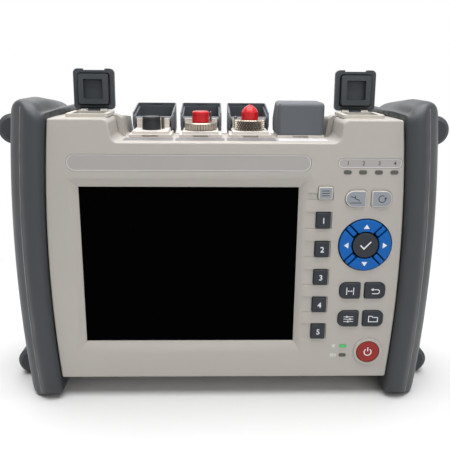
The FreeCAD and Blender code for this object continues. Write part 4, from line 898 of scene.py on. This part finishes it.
@dataclass
class Display:
    """Screen, nameplate, status plate and the small lights."""

    shop: Workshop
    face_y: float
    figure_size: float = 3.0
    # width of the pale line painted round each plate as a highlight on its edge
    rim_highlight_line: float = 0.4
    mark_size: float = 1.0
    mark_gap: float = 2.6        # from a light's left side to the middle of its mark
    light_middle: float = 2.75   # from the row's end to the middle of its last light

    def build(self) -> None:
        """Dresses the screen and plates, draws the painted highlight round each plate and prints the marks
        beside the lights.
        """
        self.shop.skin("display_window", Paint.SCREEN)
        self.shop.skin("display_module", Paint.DISPLAY)
        self.shop.skins(["nameplate", "status_plate"], Paint.FOIL)
        self.shop.skins(["status_lights", "charge_led"], Paint.GREY_LIGHT)
        self.shop.skin("on_led", Paint.GREEN_LIGHT)
        self.paint_plate_rim_highlights()
        self.number_lights()
        self.mark_power_lights()

    def paint_plate_rim_highlights(self) -> None:
        """Draws a pale line round each plate as a painted highlight on its edge."""
        for node in ("nameplate", "status_plate"):
            low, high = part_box(node)
            width, height = (high.x - low.x) / MM, (high.z - low.z) / MM
            centre = Vector(((low.x + high.x) / 2, low.y, (low.z + high.z) / 2))
            drawing = Drawing().outline(width, height, height / 2, self.rim_highlight_line)
            # painted highlight: the pale line stands in for light caught by the plate's edge
            self.shop.add(node + "_rim_highlight", drawing.mesh("edge", centre), Paint.PALE_STRIP_AND_HIGHLIGHT, HOUSING)

    def number_lights(self) -> None:
        """Numbers the status lights from 1 to 4 on the plate above them."""
        low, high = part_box("status_lights")
        plate_low, plate_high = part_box("status_plate")
        first, last = low.x + self.light_middle * MM, high.x - self.light_middle * MM
        for i in range(4):
            x = first + (last - first) * i / 3
            centre = Vector((x, plate_low.y, (plate_low.z + plate_high.z) / 2))
            drawing = Drawing().figure(str(i + 1), self.figure_size)
            self.shop.add(f"status_number_{i + 1}", drawing.mesh("number", centre), Paint.DARK_INK, HOUSING)

    def mark_power_lights(self) -> None:
        """Prints a sun beside the upper light and a battery beside the lower one."""
        for node, drawing in (("on_led", self.sun()), ("charge_led", self.battery())):
            low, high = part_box(node)
            centre = Vector((low.x - self.mark_gap * MM, self.face_y, (low.z + high.z) / 2))
            self.shop.add(node + "_mark", drawing.mesh("mark", centre), Paint.PALE_INK, HOUSING)

    def sun(self) -> Drawing:
        """A disc with eight rays.

        Returns:
            The mark.
        """
        drawing = Drawing().disc(0, 0, 0.5 * self.mark_size)
        for i in range(8):
            turn = math.radians(45 * i)
            u, v = math.cos(turn), math.sin(turn)
            near, far = 0.8 * self.mark_size, 1.25 * self.mark_size
            drawing.path([(u * near, v * near), (u * far, v * far)], 0.28 * self.mark_size)
        return drawing

    def battery(self) -> Drawing:
        """A battery's outline with two bars in it.

        Returns:
            The mark.
        """
        s = self.mark_size
        corners = [(-1.5 * s, -0.7 * s), (1.2 * s, -0.7 * s), (1.2 * s, 0.7 * s), (-1.5 * s, 0.7 * s)]
        drawing = Drawing().path(corners, 0.25 * s, True).bar(1.55 * s, 0, 0.35 * s, 0.6 * s)
        return drawing.bar(-0.9 * s, 0, 0.4 * s, 0.8 * s).bar(-0.2 * s, 0, 0.4 * s, 0.8 * s)


@dataclass
class Keypad:
    """All the keys and the marks printed on them."""

    shop: Workshop
    digit_size: float = 4.4
    line: float = 0.45
    arrow_reach: float = 10.5    # from the middle of the ring of keys to each arrow
    dark: tuple[str, ...] = ("marker_key", "escape_key", "setup_key", "file_key", "ok_key")
    pale: tuple[str, ...] = ("menu_key", "average_key", "auto_key")

    def build(self) -> None:
        """Dresses the keys and prints their marks."""
        soft = [f"soft_key_{i}" for i in range(1, 6)]
        arrows = {"up": 0, "left": 90, "down": 180, "right": 270}
        self.shop.skins([*soft, *self.dark], Paint.DARK_KEY)
        self.shop.skins(list(self.pale), Paint.KEY_SIDE)
        for key in self.pale:
            self.face(key)
        self.shop.skins([f"arrow_key_{side}" for side in arrows] + ["pad_dividers"], Paint.BLUE_KEY)
        self.shop.skin("power_key", Paint.RED_KEY)
        for i, key in enumerate(soft):
            self.print_on(key, Drawing().figure(str(i + 1), self.digit_size), Paint.PALE_INK)
        for side, turn in arrows.items():
            self.print_on(f"arrow_key_{side}", self.triangle(), Paint.PALE_INK, turn)
        marks = {"menu_key": self.menu(), "average_key": self.wave(), "auto_key": self.cycle()}
        for key, drawing in marks.items():
            self.print_on(key, drawing, Paint.DARK_INK, height=2 * PRINT_HEIGHT)
        marks = {"marker_key": self.cursors(), "escape_key": self.back(), "setup_key": self.sliders(),
                 "file_key": self.folder(), "ok_key": self.check(), "power_key": self.power()}
        for key, drawing in marks.items():
            self.print_on(key, drawing, Paint.PALE_INK)

    def face(self, key: str) -> None:
        """Lays the blue-grey face on a pale key's flat front.

        Args:
            key: The key's node and body.
        """
        low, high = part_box(key)
        middle = (low + high) / 2
        front = {((vertex.co.x - middle.x) / MM, (vertex.co.z - middle.z) / MM)
                 for vertex in self.shop.nodes[key].data.vertices if vertex.co.y < low.y + LEVEL}
        mesh = Drawing().hull(front).mesh("face", Vector((middle.x, low.y, middle.z)))
        self.shop.add(key + "_face", mesh, Paint.PALE_KEY, key)

    def print_on(self, key: str, drawing: Drawing, paint: Paint, turn: float = 0.0,
                 height: float = PRINT_HEIGHT) -> None:
        """Prints a mark in the middle of a key's face.

        Args:
            key: The key's node and body.
            drawing: The mark.
            paint: Its ink.
            turn: Degrees that it is turned by.
            height: How far it stands off the key's front.
        """
        low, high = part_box(key)
        centre = Vector(((low.x + high.x) / 2, low.y, (low.z + high.z) / 2))
        if key.startswith("arrow_key"):
            pad_low, pad_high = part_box("ok_key")
            middle = (pad_low + pad_high) / 2
            away = Vector((centre.x - middle.x, 0, centre.z - middle.z)).normalized()
            centre = Vector((middle.x, low.y, middle.z)) + away * self.arrow_reach * MM
        mesh = drawing.mesh("mark", centre, height=height, turn=turn)
        self.shop.add(key + "_mark", mesh, paint, key)

    def triangle(self) -> Drawing:
        """An arrow head that points up."""
        return Drawing().polygon([(-1.65, -1.2), (1.65, -1.2), (0, 1.2)])

    def menu(self) -> Drawing:
        """Three bars."""
        return Drawing().bar(0, -1.3, 4.0, self.line).bar(0, 0, 4.0, self.line).bar(0, 1.3, 4.0, self.line)

    def wave(self) -> Drawing:
        """A falling trace with one step in it, over a base line."""
        trace = [(-3.0, 1.4), (-0.9, 0.7), (-0.6, 1.5), (-0.3, 0.1), (1.4, -0.5), (1.7, -1.3)]
        return Drawing().path(trace, self.line).bar(0, -2.1, 6.2, self.line)

    def cycle(self) -> Drawing:
        """An arrow that goes round."""
        drawing = Drawing().arc(0, 0, 1.8, 60, 360, self.line)
        return drawing.polygon([(1.0, 0.0), (2.6, 0.0), (1.8, 1.3)])

    def cursors(self) -> Drawing:
        """Two upright cursor lines with a span between them.

        Returns:
            The mark.
        """
        drawing = Drawing().bar(-1.9, 0, self.line, 4.2).bar(1.9, 0, self.line, 4.2)
        drawing.bar(0, 0, 1.9, self.line * 0.8).polygon([(-1.5, 0), (-0.7, -0.6), (-0.7, 0.6)])
        return drawing.polygon([(1.5, 0), (0.7, 0.6), (0.7, -0.6)])

    def back(self) -> Drawing:
        """An arrow that turns back to the left.

        Returns:
            The mark.
        """
        drawing = Drawing().path([(-1.2, 0.9), (1.2, 0.9)], self.line)
        drawing.arc(1.2, -0.3, 1.2, 90, -90, self.line).path([(1.2, -1.5), (-1.6, -1.5)], self.line)
        return drawing.polygon([(-2.4, 0.9), (-1.0, 0.0), (-1.0, 1.8)])

    def sliders(self) -> Drawing:
        """Three lines with a knob on each.

        Returns:
            The mark.
        """
        drawing = Drawing()
        for v, u in ((1.4, -0.9), (0, 1.0), (-1.4, -0.2)):
            drawing.bar(0, v, 5.4, self.line * 0.8).disc(u, v, 0.62)
        return drawing

    def folder(self) -> Drawing:
        """A folder's outline."""
        outline = [(-2.5, -1.6), (2.5, -1.6), (2.5, 1.0), (-0.1, 1.0), (-0.7, 1.7), (-2.5, 1.7)]
        return Drawing().path(outline, self.line, True)

    def check(self) -> Drawing:
        """A check mark."""
        return Drawing().path([(-2.7, 0.1), (-0.8, -1.9), (2.9, 2.1)], self.line * 1.5)

    def power(self) -> Drawing:
        """A broken ring with a stroke at its top."""
        drawing = Drawing().arc(0, -0.2, 2.0, 125, 415, self.line * 1.3)
        return drawing.bar(0, 1.5, self.line * 1.3, 2.4)


@dataclass
class PortDeck:
    """The four lidded connector bays on the deck."""

    shop: Workshop
    repeat: RepeatTree
    knurl_round: int = 34
    knurl_rows: int = 5
    knurl_pitch: float = 1.08
    knurl_share: float = 0.74    # of its place that a diamond fills
    crown_height: float = 0.42
    crown_share: float = 0.5     # of the diamond that is its flat top
    shade_inset: float = 0.35   # of the dark band of painted shade under the diamonds, from the rim's two edges
    strip_width: float = 26.2
    strip_depth: float = 12.0
    strip_gap: float = 1.0       # from the bases to the strips
    strip_corner: float = 1.2
    strip_height: float = 0.12

    def build(self) -> None:
        """Dresses the bays and adds the knurling and the strips."""
        self.shop.skin("port_bases", Paint.WHITE)
        self.shop.skins([f"port_lid_{bay}" for bay in range(1, 5)], Paint.LID)
        self.shop.skin("lid_pins", Paint.STEEL)
        self.shop.skin("latch_posts", Paint.DARK_METAL)
        self.shop.skins(["connectors", "ribbed_nut", "knurled_nut"], Paint.NICKEL)
        self.shop.skin("black_dust_cap", Paint.BLACK)
        self.shop.skins(["flat_dust_cap", "domed_dust_cap"], Paint.RED_CAP)
        self.knurl()
        self.strips()

    def knurl(self) -> None:
        """Covers the rim of the third bay's nut with small diamonds, over a dark band that is painted shade
        in the hollows between them.
        """
        low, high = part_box("knurled_nut")
        middle = (low + high) / 2
        radius = (high.x - low.x) / 2
        half_wide = math.pi * radius / self.knurl_round * self.knurl_share
        half_tall = self.knurl_pitch * MM * self.knurl_share
        shape = bmesh.new()
        rim = [(-half_wide, 0), (0, -half_tall), (half_wide, 0), (0, half_tall)]
        rise, share = radius + self.crown_height * MM, self.crown_share
        base = [shape.verts.new((radius - 0.05 * MM, y, z)) for y, z in rim]
        crown = [shape.verts.new((rise, y * share, z * share)) for y, z in rim]
        shape.faces.new(list(reversed(base)))
        shape.faces.new(crown)
        for i in range(4):
            j = (i + 1) % 4
            shape.faces.new([base[i], base[j], crown[j], crown[i]])
        bmesh.ops.recalc_face_normals(shape, faces=shape.faces)
        angle = 2 * math.pi / self.knurl_round
        ring = self.repeat.run(new_mesh("stud", shape), self.knurl_round, Vector((0, 0, 0)), Paint.NICKEL,
                               turn=(0, 0, angle))
        span = self.knurl_pitch * MM * (self.knurl_rows - 1)
        start = Vector((middle.x, middle.y, middle.z - span / 2))
        rows = self.repeat.run(ring, self.knurl_rows, start, Paint.NICKEL,
                               step=(0, 0, self.knurl_pitch * MM), turn=(0, 0, angle / 2))
        self.shop.add("knurl_diamonds", rows, Paint.NICKEL, "knurled_nut")
        inset = self.shade_inset * MM
        # painted shade: a dark band under the diamonds darkens the knurl's hollows
        groove = band(middle, radius - 0.3 * MM, radius + 0.04 * MM, low.z + inset, high.z - inset)
        self.shop.add("knurl_painted_shade", groove, Paint.KNURL_SHADE, "knurled_nut")

    def strips(self) -> None:
        """Lays a bare strip on the deck in front of each bay."""
        bases_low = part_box("port_bases")[0]
        y = bases_low.y - self.strip_gap * MM - self.strip_depth * MM / 2
        for bay in range(1, 5):
            low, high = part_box(f"port_lid_{bay}")
            centre = Vector(((low.x + high.x) / 2, y, bases_low.z))
            drawing = Drawing().plate(0, 0, self.strip_width, self.strip_depth, self.strip_corner)
            mesh = drawing.mesh("strip", centre, Plane.UP, self.strip_height * MM)
            paint = Paint.PALE_STRIP_AND_HIGHLIGHT if bay == 4 else Paint.GREY_STRIP
            self.shop.add(f"label_strip_{bay}", mesh, paint, HOUSING)


@dataclass
class SidePorts:
    """The two square ports on the shoulders with their caps."""

    shop: Workshop
    repeat: RepeatTree
    spring_count: int = 8
    spring_pitch: float = 1.02
    spring_out: float = 3.9      # from the mouth's middle to the springs, towards the front
    pad_count: int = 4
    pad_pitch: float = 2.33
    pad_start: tuple[float, float, float] = (-3.5, -0.95, 0.0)

    def build(self) -> None:
        """Dresses the ports and adds their contacts."""
        self.shop.skin("port_frames", Paint.FRAME)
        self.shop.skins(["side_cap_left", "side_cap_right"], Paint.SEAL)
        self.shop.skin("side_cap_pins", Paint.STEEL)
        self.shop.skin("side_sockets", Paint.BLACK)
        low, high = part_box("side_sockets")
        half = (high.y - low.y) / 2
        self.network_contacts(Vector((low.x + half, (low.y + high.y) / 2, high.z)))
        self.data_tongue(Vector((high.x - half, (low.y + high.y) / 2, high.z)))

    def network_contacts(self, mouth: Vector) -> None:
        """Lays gold springs along the front wall of the network jack.

        Args:
            mouth: The middle of its mouth.
        """
        wire = block(Vector((-0.22, 0, -9.5)) * MM, Vector((0.22, 0.35, -1.2)) * MM, 0.1 * MM)
        pitch = self.spring_pitch * MM
        start = mouth + Vector((-pitch * (self.spring_count - 1) / 2, -self.spring_out * MM, 0))
        mesh = self.repeat.run(wire, self.spring_count, start, Paint.GOLD, step=(pitch, 0, 0))
        self.shop.add("network_contacts", mesh, Paint.GOLD, HOUSING)

    def data_tongue(self, mouth: Vector) -> None:
        """Adds the data jack's tongue and the contacts on it.

        Args:
            mouth: The middle of its mouth.
        """
        low, high = mouth + Vector((-5.6, -2.7, -8.9)) * MM, mouth + Vector((5.6, -0.9, -1.0)) * MM
        self.shop.add("data_tongue", block(low, high, 0.2 * MM), Paint.WHITE, HOUSING)
        pad = block(Vector((-0.5, 0, -7.5)) * MM, Vector((0.5, 0.12, -1.6)) * MM)
        mesh = self.repeat.run(pad, self.pad_count, mouth + Vector(self.pad_start) * MM, Paint.GOLD,
                               step=(self.pad_pitch * MM, 0, 0))
        self.shop.add("data_contacts", mesh, Paint.GOLD, HOUSING)


# Studio


@dataclass(frozen=True)
class Lamp:
    """One soft square lamp."""

    name: str
    place: tuple[float, float, float]
    size: float
    power: float   # watts


@dataclass
class Studio:
    """Floor, lamps, world and camera. Angles are in degrees, the rest in metres."""

    face_y: float
    lens: float = 47.45
    pitch: float = 15.0
    distance: float = 0.3051
    height: float = 0.1842
    side: float = -0.0071
    yaw: float = -1.27
    roll: float = 0.42
    fade_start: float = 0.14
    fade_end: float = 0.30
    floor_grey: float = 0.70
    room_light: float = 0.24
    aim: tuple[float, float, float] = (0.0, 0.0, 0.08)
    lamps: tuple[Lamp, ...] = (Lamp("top_lamp", (0.0, -0.1, 1.5), 1.5, 40.0),
                               Lamp("front_lamp", (0.55, -1.2, 0.7), 0.9, 4.5),
                               Lamp("back_lamp", (-0.4, 1.3, 1.2), 1.0, 5.0))

    def build(self) -> None:
        """Makes all of it."""
        self.floor()
        self.world()
        for lamp in self.lamps:
            self.hang(lamp)
        self.camera()
        bpy.context.scene.view_settings.view_transform = "Standard"

    def floor(self) -> None:
        """A wide pale floor at the bumpers' feet that fades to white around the object."""
        shape = bmesh.new()
        bmesh.ops.create_grid(shape, x_segments=1, y_segments=1, size=6.0)
        floor = link_object("floor", new_mesh("floor", shape))
        material = bpy.data.materials.new("floor_paper")
        material.use_nodes = True
        tree = material.node_tree
        shader = tree.nodes["Principled BSDF"]
        grey = self.floor_grey
        feed(tree, shader, {"Base Color": (grey, grey, grey, 1.0), "Roughness": 0.9,
                            "Specular IOR Level": 0.0})
        place = tree.nodes.new("ShaderNodeTexCoord").outputs["Object"]
        away = add_node(tree, "ShaderNodeVectorMath", {0: place}, operation="LENGTH")
        fade = add_node(tree, "ShaderNodeMapRange", {"Value": away.outputs["Value"],
                                                     "From Min": self.fade_start, "From Max": self.fade_end})
        white = add_node(tree, "ShaderNodeEmission", {"Color": PURE_WHITE})
        share = add_math(tree, "MULTIPLY", fade.outputs["Result"], self.looked_at(tree))
        mix = add_node(tree, "ShaderNodeMixShader", {0: share, 1: shader.outputs[0], 2: white.outputs[0]})
        tree.links.new(mix.outputs[0], tree.nodes["Material Output"].inputs["Surface"])
        floor.data.materials.append(material)

    def looked_at(self, tree: bpy.types.NodeTree) -> bpy.types.NodeSocket:
        """Adds a value that is 1 for rays that see and 0 for rays that light.

        Args:
            tree: The tree that gets the nodes.

        Returns:
            The output socket.
        """
        path = tree.nodes.new("ShaderNodeLightPath").outputs
        through = add_math(tree, "MAXIMUM", path["Is Camera Ray"], path["Is Transmission Ray"])
        return add_math(tree, "MAXIMUM", through, path["Is Glossy Ray"])

    def world(self) -> None:
        """Even light from all round, and white behind the object."""
        world = bpy.data.worlds.new("studio")
        bpy.context.scene.world = world
        world.use_nodes = True
        tree = world.node_tree
        tree.nodes.clear()
        light = add_node(tree, "ShaderNodeBackground", {"Color": PURE_WHITE, "Strength": self.room_light})
        white = add_node(tree, "ShaderNodeBackground", {"Color": PURE_WHITE, "Strength": 1.0})
        mix = add_node(tree, "ShaderNodeMixShader", {0: self.looked_at(tree), 1: light.outputs[0],
                                                     2: white.outputs[0]})
        add_node(tree, "ShaderNodeOutputWorld", {0: mix.outputs[0]})

    def hang(self, lamp: Lamp) -> None:
        """Hangs a lamp and turns it to the object.

        Args:
            lamp: The lamp.
        """
        light = bpy.data.lights.new(lamp.name, "AREA")
        light.shape = "SQUARE"
        light.size = lamp.size
        light.energy = lamp.power
        hung = link_object(lamp.name, light)
        hung.location = lamp.place
        way = Vector(self.aim) - Vector(lamp.place)
        hung.rotation_euler = way.to_track_quat("-Z", "Y").to_euler()

    def camera(self) -> None:
        """Stands the camera in front, a little above, looking down."""
        data = bpy.data.cameras.new("camera")
        data.lens = self.lens
        data.sensor_width = 36.0
        data.clip_start = 0.01
        camera = link_object("camera", data)
        camera.location = (self.side, self.face_y - self.distance, self.height)
        turn = Matrix.Rotation(math.radians(self.yaw), 3, "Z") @ Matrix.Rotation(
            math.radians(90 - self.pitch), 3, "X") @ Matrix.Rotation(math.radians(self.roll), 3, "Z")
        camera.rotation_euler = turn.to_euler()
        bpy.context.scene.camera = camera


def main() -> None:
    """Builds the instrument's looks in order."""
    logging.basicConfig(level=logging.INFO, format="%(message)s")
    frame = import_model()
    shop = Workshop(frame)
    repeat = RepeatTree()
    face_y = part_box("display_window")[0].y - FACE_TO_WINDOW
    for assembly in (Casing(shop), Bumpers(shop, face_y), Display(shop, face_y), Keypad(shop),
                     PortDeck(shop, repeat), SidePorts(shop, repeat)):
        assembly.build()
        LOG.info("built %s", type(assembly).__name__)
    Studio(face_y).build()
    bpy.context.view_layer.update()


if __name__ == "__main__":
    main()
